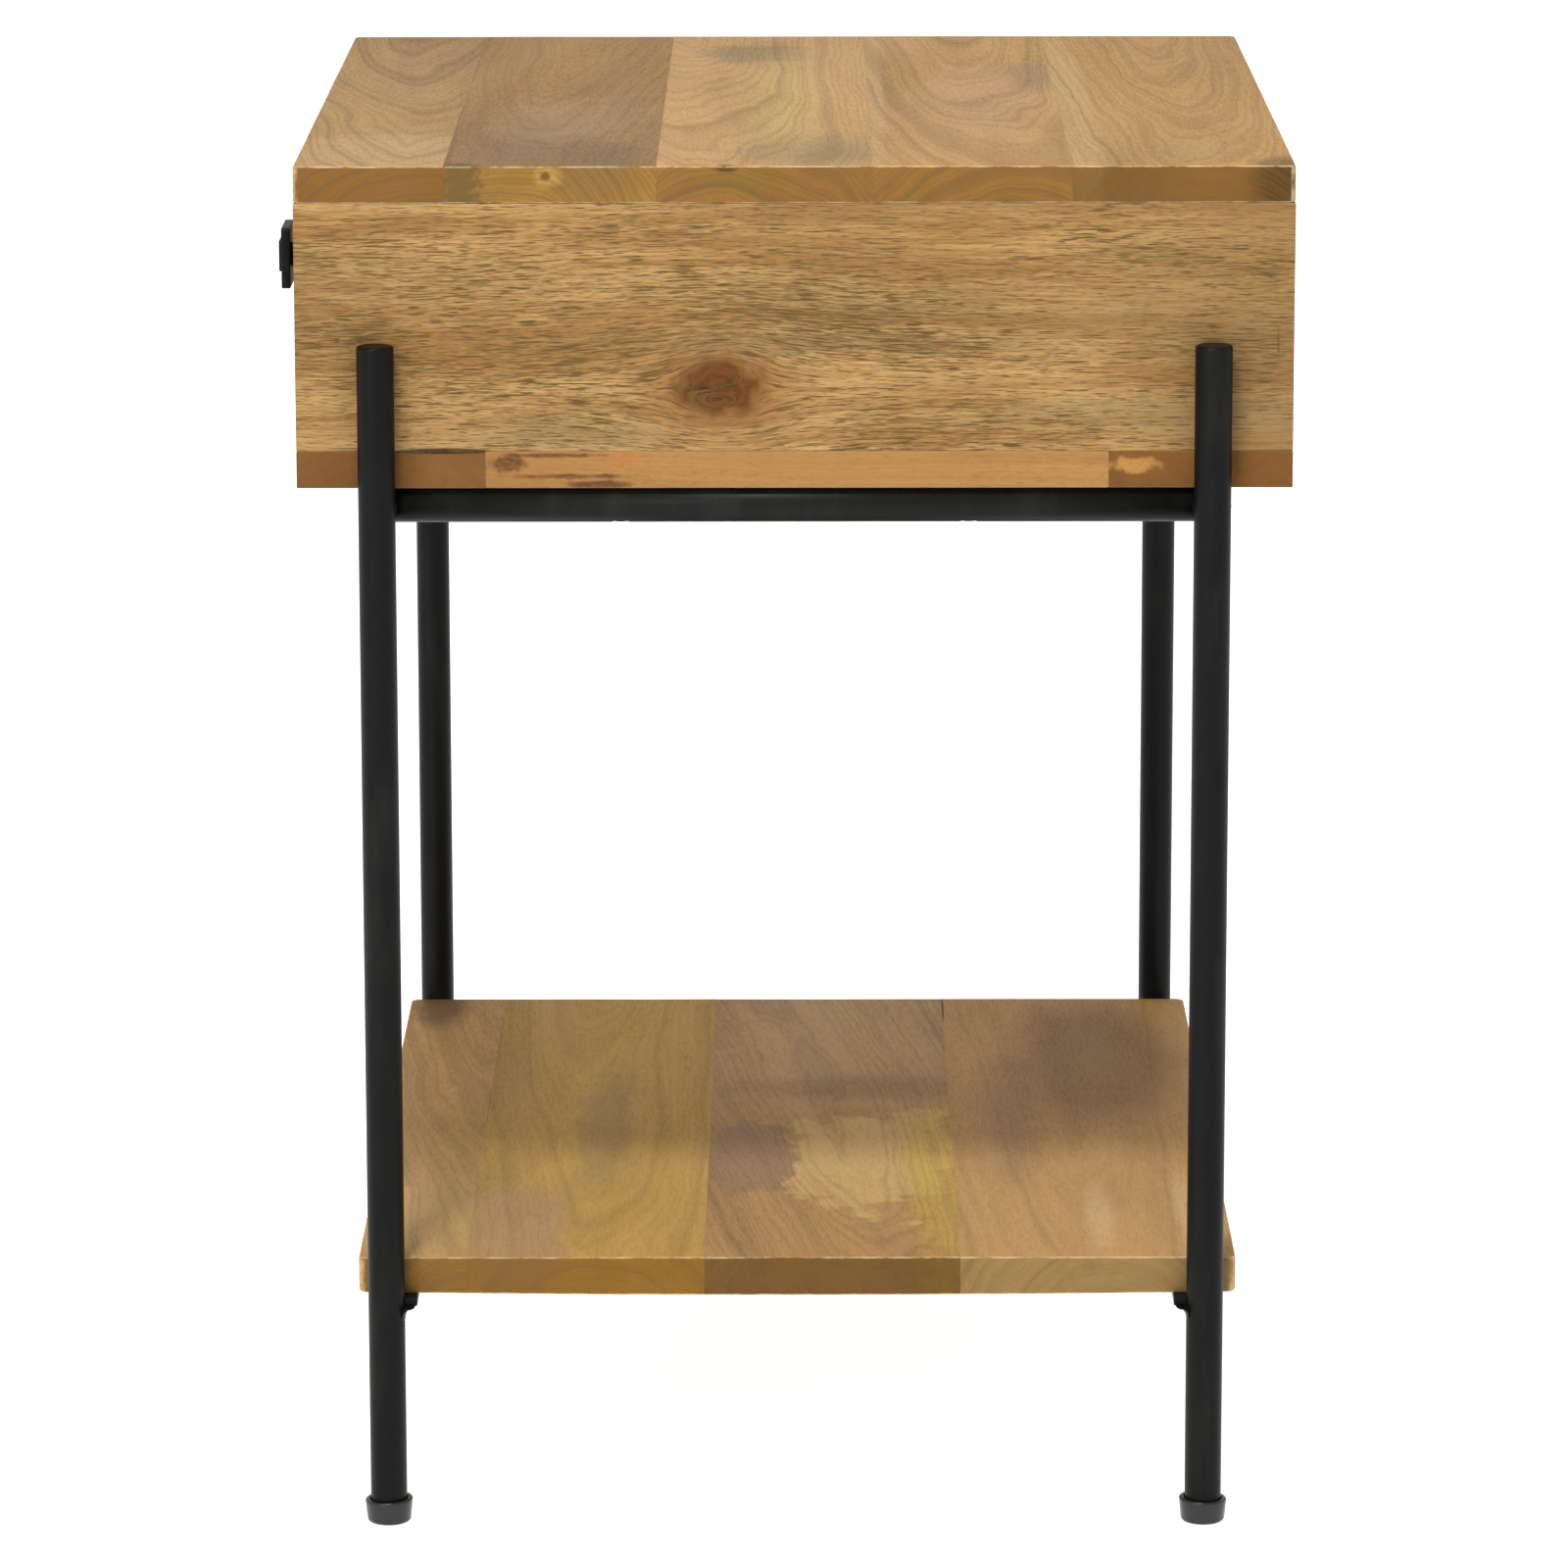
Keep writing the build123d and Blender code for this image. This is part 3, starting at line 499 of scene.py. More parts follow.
@dataclass(frozen=True)
class WoodFinish:
    """Oiled, open-pored hardwood, one board's worth of it."""

    light: Colour
    dark: Colour
    grey: Colour = (0.17, 0.115, 0.06)
    yellow: Colour = (0.46, 0.29, 0.075)
    end_tint: Colour = (0.50, 0.41, 0.24)
    pore_colour: Colour = (0.13, 0.075, 0.028)
    # Pale colour of the painted edge highlight, partly rubbing on the edges.
    rubbed_and_highlight: Colour = (0.74, 0.56, 0.33)
    grain: Grain = Grain.ACROSS
    ring_width: float = 0.0065
    wander: float = 0.006
    pith: tuple[float, float] = (0.0, -0.03)
    tilt: tuple[float, float] = (0.03, 0.0)
    ring_depth: float = 0.28
    line_depth: float = 0.42
    pore_depth: float = 0.12
    fibre_depth: float = 0.2
    pore_length: float = 0.009
    pore_width: float = 0.0010
    grey_share: float = 0.25
    yellow_share: float = 0.15
    band_depth: float = 0.2
    # Strength of the painted edge highlight and of the rubbing on the edges.
    wear_and_highlight: float = 0.65
    seed: float = 0.0
    bump: float = 0.25
    reflectance: float = 0.09
    stains_and_painted_light: tuple[ColourPatch, ...] = ()
    knot: KnotSpot | None = None

    def build(self, name: str, low: Vector, high: Vector) -> bpy.types.Material:
        """Make the material for a board.

        Args:
            name: the material's name.
            low: the lowest corner of the board.
            high: the highest corner of the board.

        Returns:
            The finished material.
        """
        material, graph, shader = new_material(name)
        middle = (low + high) / 2
        half = (high - low) / 2

        def at(place: tuple[float, float, float]) -> tuple[float, float, float]:
            """Turn a place within the board into a point."""
            return tuple(middle[axis] + place[axis] * half[axis] for axis in range(3))

        where = graph.add("TexCoord").outputs["Object"]
        led = where
        knot = None
        if self.knot:
            knot = place_group(
                graph,
                Effects.knot,
                Vector=where,
                Centre=at(self.knot.place),
                Radius=self.knot.radius,
                Stretch=self.knot.stretch,
            )
            led = knot.outputs["Vector"]
        turn = self.grain.value
        sideways = Vector((-math.sin(turn), math.cos(turn), 0.0)) * self.pith[0]
        pith = middle + sideways + Vector((0.0, 0.0, self.pith[1]))
        frame_of_grain = graph.add("Mapping", vector_type="TEXTURE")
        graph.feed(frame_of_grain.inputs["Vector"], led)
        frame_of_grain.inputs["Location"].default_value = pith
        frame_of_grain.inputs["Rotation"].default_value = (0.0, self.tilt[0], turn + self.tilt[1])
        growth = place_group(
            graph,
            Effects.growth,
            Vector=frame_of_grain.outputs["Vector"],
            Ring_Width=self.ring_width,
            Wander=self.wander,
            Pore_Length=self.pore_length,
            Pore_Width=self.pore_width,
            Seed=self.seed,
        ).outputs
        grain_axis = (math.cos(turn), math.sin(turn), 0.0)
        arris = place_group(graph, Effects.arris, Grain=grain_axis, Wear=self.wear_and_highlight).outputs

        tone = graph.times(growth["Rings"], self.ring_depth)
        tone = graph.plus(tone, graph.times(graph.ramp(growth["Bands"], 0.4, 0.68), self.band_depth))
        tone = graph.plus(tone, graph.times(graph.ramp(growth["Fibres"], 0.3, 0.75), self.fibre_depth))
        tone = graph.plus(tone, graph.times(graph.ramp(growth["Drift"], 0.35, 0.7), 0.4))
        colour = graph.mix(graph.math("MINIMUM", tone, 1.0), self.light, self.dark)
        grey = graph.times(graph.ramp(growth["Drift"], 0.5, 0.78), self.grey_share)
        colour = graph.mix(grey, colour, self.grey)
        hint = graph.rest(graph.ramp(growth["Drift"], 0.26, 0.46))
        colour = graph.mix(graph.times(hint, self.yellow_share), colour, self.yellow)
        if knot:
            colour = graph.mix(graph.times(knot.outputs["Halo"], 0.7), colour, self.knot.halo)
            heart = graph.mix(graph.times(knot.outputs["Turns"], 0.5), self.knot.eye, self.knot.rings)
            colour = graph.mix(graph.times(knot.outputs["Eye"], 0.97), colour, heart)
        # Patches of other colour: staining and tone, with a few marks of painted shade and painted light.
        for colour_mark in self.stains_and_painted_light:
            patch = place_group(
                graph,
                Effects.patch,
                Vector=where,
                Centre=at(colour_mark.place),
                Size=colour_mark.size,
                Softness=colour_mark.softness,
                Raggedness=colour_mark.raggedness,
                Frequency=colour_mark.frequency,
            )
            colour = graph.mix(graph.times(patch.outputs["Mask"], colour_mark.strength), colour, colour_mark.colour)
        colour = graph.mix(arris["End"], colour, graph.mix(1.0, colour, self.end_tint, "MULTIPLY"))
        drawn = graph.math("MULTIPLY_ADD", arris["End"], 0.9 * self.line_depth, self.line_depth)
        colour = graph.mix(graph.times(growth["Lines"], drawn), colour, self.pore_colour)
        colour = graph.mix(graph.times(growth["Pores"], self.pore_depth), colour, self.pore_colour)
        # Painted highlight along every eased edge, partly rubbing: the pale colour mixed in by the edge
        # mask.
        colour = graph.mix(graph.times(arris["Edge"], 0.75), colour, self.rubbed_and_highlight)
        graph.feed(shader.inputs["Base Color"], colour)

        gloss = graph.math("MULTIPLY_ADD", growth["Fibres"], 0.16, 0.44)
        gloss = graph.plus(gloss, graph.times(growth["Pores"], 0.2))
        graph.feed(shader.inputs["Roughness"], gloss)
        relief = graph.math("MULTIPLY_ADD", growth["Pores"], -0.8, 0.5)
        relief = graph.plus(relief, graph.times(growth["Fibres"], 0.35))
        roughen(graph, shader, relief, 0.35, self.bump)
        shader.inputs["Specular IOR Level"].default_value = self.reflectance
        return material


@dataclass(frozen=True)
class CoatFinish:
    """A matt dark coat: powder paint or moulded plastic."""

    colour: Colour = (0.0030, 0.0029, 0.0026)
    scuff: Colour = (0.030, 0.029, 0.027)
    roughness: float = 0.42
    grain: float = 900.0
    bump: float = 0.05
    # Strength of the edge mask; on the coat it only roughens the edges.
    wear_and_highlight: float = 0.35
    reflectance: float = 0.12

    def build(self, name: str) -> bpy.types.Material:
        """Make the material.

        Args:
            name: the material's name.

        Returns:
            The finished material.
        """
        material, graph, shader = new_material(name)
        where = graph.add("TexCoord").outputs["Object"]
        speckle = graph.cloud(graph.scaled(where, self.grain), 3.0, 0.6)
        smear = graph.cloud(graph.stretched(where, (60.0, 60.0, 14.0)), 4.0, 0.6)
        arris = place_group(graph, Effects.arris, Grain=(0.0, 0.0, 1.0), Wear=self.wear_and_highlight).outputs
        colour = graph.mix(graph.times(graph.ramp(smear, 0.45, 0.8), 0.3), self.colour, self.scuff)
        colour = graph.mix(graph.times(graph.ramp(speckle, 0.62, 0.75), 0.25), colour, self.scuff)
        graph.feed(shader.inputs["Base Color"], colour)
        gloss = graph.math("MULTIPLY_ADD", smear, 0.22, self.roughness - 0.11)
        graph.feed(shader.inputs["Roughness"], graph.plus(gloss, graph.times(arris["Edge"], 0.06)))
        roughen(graph, shader, speckle, 0.5, self.bump)
        shader.inputs["Specular IOR Level"].default_value = self.reflectance
        return material


@dataclass(frozen=True)
class ZincFinish:
    """Bright zinc plating on screws, bolts and washers."""

    colour: Colour = (0.55, 0.55, 0.53)

    def build(self, name: str) -> bpy.types.Material:
        """Make the material.

        Args:
            name: the material's name.

        Returns:
            The finished material.
        """
        material, graph, shader = new_material(name)
        where = graph.add("TexCoord").outputs["Object"]
        cloud = graph.cloud(graph.scaled(where, 420.0), 3.0)
        scratch = graph.cloud(graph.stretched(where, (2600.0, 2600.0, 300.0)), 2.0)
        graph.feed(shader.inputs["Base Color"], graph.mix(cloud, self.colour, (0.36, 0.36, 0.37)))
        graph.feed(shader.inputs["Roughness"], graph.math("MULTIPLY_ADD", scratch, 0.3, 0.22))
        shader.inputs["Metallic"].default_value = 1.0
        return material


# ------------------------------------------------------------------ mesh helpers
def turn_mesh(mesh: bmesh.types.BMesh, angle: float, axis: str) -> None:
    """Turn a whole bmesh about an axis through the origin."""
    bmesh.ops.rotate(mesh, cent=ORIGIN, matrix=Matrix.Rotation(angle, 3, axis), verts=mesh.verts)


def move_mesh(mesh: bmesh.types.BMesh, x: float, y: float, z: float) -> None:
    """Move a whole bmesh."""
    bmesh.ops.translate(mesh, vec=(x, y, z), verts=mesh.verts)


def ease(
    mesh: bmesh.types.BMesh, edges: Iterable[bmesh.types.BMEdge], offset: float, segments: int
) -> dict[str, list]:
    """Bevel edges, rounded with several segments and flat with one, and return what was made."""
    return bmesh.ops.bevel(
        mesh, geom=list(edges), offset=offset, segments=segments, affect="EDGES", profile=0.5, material=-1
    )


def spin_whole(mesh: bmesh.types.BMesh, steps: int) -> None:
    """Spin everything in a bmesh once about the Z axis."""
    geometry = mesh.verts[:] + mesh.edges[:]
    bmesh.ops.spin(mesh, geom=geometry, cent=ORIGIN, axis=UP, angle=math.tau, steps=steps, use_merge=True)


def finish_mesh(
    name: str, mesh: bmesh.types.BMesh, body: Body, material: bpy.types.Material
) -> bpy.types.Object:
    """Turn a bmesh into a piece at the origin that rides on a body.

    Args:
        name: the piece's name.
        mesh: the finished bmesh, which is freed.
        body: the body that the piece moves with.
        material: the piece's material.

    Returns:
        The new object.
    """
    bmesh.ops.recalc_face_normals(mesh, faces=mesh.faces)
    data = bpy.data.meshes.new(name)
    mesh.to_mesh(data)
    mesh.free()
    data.polygons.foreach_set("use_smooth", [True] * len(data.polygons))
    data.set_sharp_from_angle(angle=math.radians(38))
    data.materials.append(material)
    piece = bpy.data.objects.new(name, data)
    bpy.context.scene.collection.objects.link(piece)
    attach(piece, body.value)
    log.info("%s: %d faces on %s", name, len(data.polygons), body.value)
    return piece


def spun(profile: Sequence[tuple[float, float]], steps: int) -> bmesh.types.BMesh:
    """Spin a profile of (radius, height) points about the Z axis.

    Args:
        profile: points from one end to the other; ends on the axis are closed.
        steps: facets of a full turn.

    Returns:
        The bmesh of the turned shape.
    """
    mesh = bmesh.new()
    points = [mesh.verts.new((radius, 0.0, height)) for radius, height in profile]
    for pair in zip(points, points[1:]):
        mesh.edges.new(pair)
    spin_whole(mesh, steps)
    bmesh.ops.remove_doubles(mesh, verts=mesh.verts, dist=0.001 * MM)
    return mesh


def quarter(x: float, y: float, radius: float, start: float, steps: int = 5) -> list[tuple[float, float]]:
    """Return the points of a quarter circle that starts at an angle and turns left."""
    turns = [start + QUARTER_TURN * step / steps for step in range(steps + 1)]
    return [(x + radius * math.cos(turn), y + radius * math.sin(turn)) for turn in turns]


@dataclass
class BoardShape:
    """How one board's edges are eased."""

    rim: float = 0.9 * MM
    seam: float = 0.18 * MM
    corner: float = 3.0 * MM
    swell: float = 0.0
    unevenness: float = 0.10 * MM
    waves: float = 21.0
    cut: float = 25.0 * MM

    def build(
        self, low: Vector, high: Vector, seams: Sequence[str], panel: tuple[float, float]
    ) -> bmesh.types.BMesh:
        """Make a board with eased edges and a faintly uneven, hand-sanded surface.

        Args:
            low: the board's lowest corner.
            high: the board's highest corner.
            seams: sides that are glued to a neighbour, such as "-y".
            panel: lowest and highest y of the whole panel that it belongs to.

        Returns:
            The bmesh of the board.
        """
        mesh = bmesh.new()
        bmesh.ops.create_cube(mesh, size=1.0)
        size = high - low
        bmesh.ops.scale(mesh, vec=size, verts=mesh.verts)
        centre = (low + high) / 2
        move_mesh(mesh, *centre)

        def on_seam(edge: bmesh.types.BMEdge) -> bool:
            """Tell if an edge belongs to a glued side."""
            middle = (edge.verts[0].co + edge.verts[1].co) / 2
            at_front = abs(middle.y - low.y) < CLOSE and "-y" in seams
            at_back = abs(middle.y - high.y) < CLOSE and "+y" in seams
            return at_front or at_back

        upright = [e for e in mesh.edges if abs(e.verts[0].co.z - e.verts[1].co.z) > size.z / 2]
        corners = [edge for edge in upright if not on_seam(edge)]
        if self.corner and corners:
            ease(mesh, corners, self.corner, 6)
        level = [e for e in mesh.edges if abs(e.verts[0].co.z - e.verts[1].co.z) < CLOSE]
        free = [edge for edge in level if not on_seam(edge)]
        joined = [edge for edge in mesh.edges if on_seam(edge)]
        ease(mesh, free, self.rim, 3)
        joined = [edge for edge in joined if edge.is_valid]
        if joined:
            ease(mesh, joined, self.seam, 1)
        for axis in range(3):
            count = int(size[axis] / self.cut)
            for step in range(1, count):
                point = low.copy()
                point[axis] += size[axis] * step / count
                normal = Vector(ORIGIN)
                normal[axis] = 1.0
                whole = mesh.verts[:] + mesh.edges[:] + mesh.faces[:]
                bmesh.ops.bisect_plane(mesh, geom=whole, plane_co=point, plane_no=normal, dist=0.001 * MM)
        for vert in mesh.verts:
            drift = noise.noise_vector(vert.co * self.waves + Vector((0.0, 0.0, low.y * 50.0)))
            vert.co += drift * self.unevenness
            if self.swell and vert.co.z < centre.z:
                share = (vert.co.y - panel[0]) / (panel[1] - panel[0])
                vert.co.z -= self.swell * math.sin(math.pi * min(max(share, 0.0), 1.0))
        return mesh


# ------------------------------------------------------------------ wooden sub-assemblies
def corners_of(node: str) -> tuple[Vector, Vector]:
    """Return the lowest and highest corner of a CAD node as vectors."""
    low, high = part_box(node)
    return Vector(low), Vector(high)


@dataclass
class GluedPanel:
    """Boards glued edge to edge, each with a finish of its own."""

    name: str
    finishes: Sequence[WoodFinish]
    shape: BoardShape
    slot: str = "board_wood"

    def build(self) -> None:
        """Make every board of the panel in the place of its CAD node."""
        nodes = [f"{self.name}_stave_{number}" for number in range(1, len(self.finishes) + 1)]
        first, last = corners_of(nodes[0])[0].y, corners_of(nodes[-1])[1].y
        for number, (node, finish) in enumerate(zip(nodes, self.finishes)):
            low, high = corners_of(node)
            seams = ["-y"] * (number > 0) + ["+y"] * (number < len(nodes) - 1)
            mesh = self.shape.build(low, high, seams, (first, last))
            piece = finish_mesh(f"{node}_board", mesh, Body.TABLE, finish.build(node, low, high))
            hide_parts(node)


@dataclass
class SingleBoards:
    """Boards that stand alone: the case's walls, its bottom frame and the drawer front."""

    finishes: dict[str, WoodFinish]
    shape: BoardShape
    body: Body = Body.TABLE
    slot: str = "case_wood"

    def build(self) -> None:
        """Make every board in the place of its CAD node."""
        for node, finish in self.finishes.items():
            low, high = corners_of(node)
            mesh = self.shape.build(low, high, (), (low.y, high.y))
            piece = finish_mesh(f"{node}_board", mesh, self.body, finish.build(node, low, high))
            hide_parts(node)


TOP_FINISHES = (
    WoodFinish(
        light=(0.397, 0.234, 0.092),
        dark=(0.271, 0.153, 0.058),
        pith=(0.012, -0.036),
        tilt=(0.10, 0.05),
        ring_width=0.0052,
        seed=1.3,
        end_tint=(0.45, 0.33, 0.155),
        grey_share=0.2,
        stains_and_painted_light=(ColourPatch((0.85, 0.0, 1.0), (0.06, 0.05, 0.03), (0.50, 0.33, 0.17), 0.5),),
    ),
    WoodFinish(
        light=(0.336, 0.185, 0.061),
        dark=(0.219, 0.119, 0.041),
        grey=(0.15, 0.105, 0.07),
        pith=(-0.006, -0.028),
        tilt=(0.05, -0.06),
        ring_width=0.006,
        seed=4.1,
        grey_share=0.55,
        end_tint=(1.02, 0.95, 0.54),
        stains_and_painted_light=(
            ColourPatch((1.0, -0.86, -0.1), (0.010, 0.009, 0.02), (0.055, 0.05, 0.04), 0.62, 0.5, 0.7, 420.0),
            ColourPatch((1.0, -0.02, 0.4), (0.004, 0.0050, 0.0036), (0.62, 0.42, 0.17), 0.35, 0.5, 0.2, 300.0),
            ColourPatch((1.0, -0.04, 0.47), (0.004, 0.0021, 0.0017), (0.10, 0.045, 0.015), 0.85, 0.5, 0.2, 300.0),
            ColourPatch((0.35, 0.2, 1.0), (0.07, 0.03, 0.02), (0.43, 0.30, 0.16), 0.3, 0.6, 0.45, 70.0),
        ),
    ),
    WoodFinish(
        light=(0.509, 0.305, 0.124),
        dark=(0.384, 0.217, 0.078),
        pith=(-0.03, -0.04),
        tilt=(0.09, 0.05),
        ring_width=0.0075,
        seed=7.7,
        grey_share=0.15,
        yellow_share=0.3,
        stains_and_painted_light=(
            ColourPatch((0.78, 0.45, 1.0), (0.045, 0.028, 0.012), (0.22, 0.17, 0.09), 0.6, 0.6, 0.3, 60.0),
            ColourPatch((-0.7, -0.15, 1.0), (0.035, 0.02, 0.01), (0.18, 0.14, 0.07), 0.6, 0.5, 0.3, 70.0),
            ColourPatch((0.1, 0.2, 1.0), (0.16, 0.014, 0.02), (0.50, 0.36, 0.12), 0.45, 0.6, 0.3, 60.0),
            ColourPatch((1.0, -0.36, 0.9), (0.005, 0.0042, 0.0016), (0.12, 0.055, 0.018), 0.85, 0.5, 0.3, 300.0),
            ColourPatch((1.0, -0.15, 0.1), (0.004, 0.014, 0.004), (0.36, 0.29, 0.06), 0.5, 0.6, 0.3, 200.0),
        ),
    ),
    WoodFinish(
        light=(0.480, 0.279, 0.105),
        dark=(0.355, 0.195, 0.067),
        pith=(0.008, -0.022),
        tilt=(0.075, 0.03),
        ring_width=0.0068,
        seed=11.2,
        stains_and_painted_light=(
            ColourPatch((0.1, 0.25, 1.0), (0.11, 0.022, 0.02), (0.46, 0.27, 0.14), 0.5, 0.6, 0.3),
            ColourPatch((0.0, -0.93, 1.0), (0.24, 0.004, 0.03), (0.54, 0.37, 0.18), 0.35, 0.4, 0.1),
            ColourPatch((-0.35, 0.8, 1.0), (0.05, 0.01, 0.01), (0.22, 0.15, 0.08), 0.5, 0.5, 0.3),
        ),
    ),
    WoodFinish(
        light=(0.470, 0.270, 0.092),
        dark=(0.355, 0.199, 0.063),
        pith=(0.006, -0.020),
        tilt=(0.065, 0.015),
        ring_width=0.0062,
        seed=15.8,
        end_tint=(0.40, 0.33, 0.19),
        stains_and_painted_light=(
            ColourPatch((0.2, -0.86, 0.9), (0.30, 0.0075, 0.03), (0.52, 0.35, 0.17), 0.45, 0.3, 0.12, 25.0),
            ColourPatch((0.82, 0.1, 0.9), (0.03, 0.012, 0.008), (0.28, 0.20, 0.10), 0.25, 0.5, 0.3, 80.0),
            ColourPatch((1.0, 0.97, -0.2), (0.03, 0.016, 0.016), (0.13, 0.075, 0.026), 0.75, 0.4, 0.2, 80.0),
        ),
    ),
)

SHELF_FINISHES = (
    WoodFinish(
        light=(0.457, 0.263, 0.092),
        dark=(0.286, 0.158, 0.054),
        pith=(0.03, -0.035),
        tilt=(0.07, 0.04),
        seed=21.0,
        grey_share=0.4,
        stains_and_painted_light=(
            ColourPatch((0.80, 0.2, 1.0), (0.07, 0.05, 0.02), (0.56, 0.36, 0.15), 0.5, 0.7, 0.3, 30.0),
            ColourPatch((0.55, 0.75, 0.8), (0.15, 0.012, 0.03), (0.40, 0.26, 0.07), 0.45, 0.5, 0.3, 40.0),
            ColourPatch((-0.93, -0.35, 1.0), (0.035, 0.012, 0.02), (0.10, 0.06, 0.03), 0.8, 0.5, 0.3, 60.0),
        ),
    ),
    WoodFinish(
        light=(0.477, 0.287, 0.067),
        dark=(0.350, 0.207, 0.049),
        grey=(0.20, 0.15, 0.06),
        yellow=(0.50, 0.33, 0.06),
        pith=(0.0, -0.026),
        tilt=(0.06, 0.02),
        ring_width=0.0085,
        ring_depth=0.25,
        line_depth=0.2,
        seed=24.4,
        yellow_share=0.5,
        stains_and_painted_light=(
            ColourPatch((0.80, -0.62, 1.0), (0.075, 0.021, 0.03), (0.36, 0.215, 0.10), 0.8, 0.3, 0.35, 34.0),
            ColourPatch((0.05, 0.1, 1.0), (0.09, 0.012, 0.02), (0.20, 0.14, 0.06), 0.5, 0.6, 0.3, 40.0),
        ),
    ),
    WoodFinish(
        light=(0.396, 0.223, 0.082),
        dark=(0.277, 0.155, 0.059),
        pith=(0.0, -0.05),
        tilt=(0.02, 0.12),
        ring_width=0.005,
        seed=28.9,
        end_tint=(0.35, 0.31, 0.20),
        band_depth=0.35,
        stains_and_painted_light=(
            # Lighter patch at the back of the board: partly its own tone, partly painted light that lifts
            # the shade under the case.
            ColourPatch((-0.6, 0.0, 1.0), (0.13, 0.058, 0.02), (0.50, 0.33, 0.16), 0.65, 0.7, 0.3, 30.0),
            ColourPatch((0.30, 0.35, 1.0), (0.085, 0.035, 0.03), (0.50, 0.33, 0.12), 0.85, 0.12, 0.55, 38.0),
            ColourPatch((0.45, 0.92, 1.0), (0.12, 0.016, 0.03), (0.48, 0.32, 0.05), 0.6, 0.35, 0.4, 60.0),
            ColourPatch((0.28, -0.65, 1.0), (0.06, 0.018, 0.03), (0.25, 0.155, 0.085), 0.8, 0.12, 0.4, 40.0),
            ColourPatch((-0.25, 0.35, 1.0), (0.02, 0.05, 0.02), (0.2, 0.14, 0.06), 0.5, 0.6, 0.3, 40.0),
        ),
    ),
    WoodFinish(
        light=(0.479, 0.282, 0.103),
        dark=(0.347, 0.197, 0.072),
        pith=(0.0, -0.024),
        tilt=(0.05, 0.03),
        ring_width=0.0095,
        ring_depth=0.25,
        line_depth=0.16,
        seed=33.3,
        end_tint=(0.58, 0.61, 0.59),
        grey_share=0.2,
        stains_and_painted_light=(
            ColourPatch((-0.45, 0.2, 1.0), (0.11, 0.036, 0.03), (0.175, 0.10, 0.042), 0.7, 0.4, 0.12, 30.0),
            ColourPatch((-0.93, -1.0, 1.0), (0.030, 0.0009, 0.004), (0.04, 0.022, 0.01), 0.9, 0.4, 0.2, 200.0),
            ColourPatch((0.72, 0.05, 1.0), (0.045, 0.006, 0.02), (0.60, 0.42, 0.22), 0.4, 0.6, 0.3, 90.0),
            ColourPatch((0.66, 0.72, 1.0), (0.05, 0.006, 0.02), (0.60, 0.42, 0.22), 0.4, 0.6, 0.3, 90.0),
            ColourPatch((-0.05, -0.55, 1.0), (0.09, 0.012, 0.03), (0.24, 0.15, 0.08), 0.55, 0.6, 0.2, 30.0),
        ),
    ),
)

SIDE_FINISH = WoodFinish(
    light=(0.472, 0.302, 0.118),
    dark=(0.264, 0.135, 0.041),
    grey=(0.20, 0.155, 0.075),
    pore_colour=(0.115, 0.068, 0.022),
    grain=Grain.ALONG,
    pith=(-0.05, 0.02),
    tilt=(0.0, 0.02),
    ring_width=0.007,
    wander=0.004,
    ring_depth=0.12,
    line_depth=0.12,
    pore_depth=1.0,
    fibre_depth=0.68,
    wear_and_highlight=0.1,
    pore_length=0.0115,
    pore_width=0.00052,
    grey_share=0.6,
    yellow_share=0.2,
    band_depth=0.55,
    seed=41.5,
    knot=KnotSpot((1.0, -0.151, -0.49), 0.0125, 1.55),
    stains_and_painted_light=(
        ColourPatch((1.0, -0.178, -0.50), (0.01, 0.0052, 0.0013), (0.024, 0.011, 0.005), 0.75, 0.8, 0.6, 300.0),
        ColourPatch((1.0, -0.128, -0.44), (0.01, 0.0018, 0.0024), (0.034, 0.016, 0.007), 0.6, 0.9, 0.6, 300.0),
        ColourPatch((1.0, -0.150, -0.56), (0.01, 0.0030, 0.0010), (0.05, 0.020, 0.007), 0.6, 0.9, 0.6, 300.0),
        ColourPatch((1.0, -0.87, -0.10), (0.01, 0.0016, 0.0012), (0.10, 0.045, 0.015), 0.9, 0.5, 0.2),
        ColourPatch((1.0, -0.915, -0.10), (0.01, 0.0012, 0.0010), (0.12, 0.05, 0.018), 0.9, 0.5, 0.2),
        ColourPatch((1.0, 0.968, -0.12), (0.01, 0.0006, 0.0045), (0.07, 0.035, 0.014), 0.9, 0.6, 0.5, 400.0),
        ColourPatch((1.0, -0.45, -0.85), (0.02, 0.035, 0.006), (0.19, 0.14, 0.07), 0.45, 0.7, 0.8, 150.0),
        ColourPatch((1.0, 0.05, -0.12), (0.02, 0.09, 0.004), (0.22, 0.155, 0.075), 0.4, 0.7, 0.8, 150.0),
        # Painted shade: a thin dark line along the bottom edge, in the open seam above the front bottom
        # rail.
        ColourPatch((1.0, -0.705, -1.0), (0.004, 0.019, 0.0012), (0.02, 0.011, 0.005), 0.9, 0.3, 0.1),
        ColourPatch((1.0, 1.0, 0.0), (0.02, 0.045, 0.08), (0.22, 0.125, 0.046), 0.55, 0.7, 0.2),
        ColourPatch((1.0, 0.75, -0.7), (0.02, 0.06, 0.007), (0.20, 0.14, 0.065), 0.45, 0.7, 0.8, 150.0),
    ),
)

PLAIN_SIDE = WoodFinish(
    light=(0.50, 0.32, 0.13),
    dark=(0.33, 0.18, 0.06),
    grain=Grain.ALONG,
    pith=(0.05, 0.02),
    wander=0.004,
    ring_depth=0.2,
    pore_depth=0.82,
    fibre_depth=0.6,
    wear_and_highlight=0.2,
    pore_length=0.0075,
    pore_width=0.00062,
    grey_share=0.5,
    band_depth=0.45,
    seed=47.0,
)

FACE_FINISH = replace(
    PLAIN_SIDE,
    grain=Grain.ACROSS,
    pith=(-0.04, 0.015),
    tilt=(0.0, 0.02),
    wander=0.0045,
    ring_depth=0.25,
    pore_depth=0.8,
    grey_share=0.4,
    seed=52.0,
)

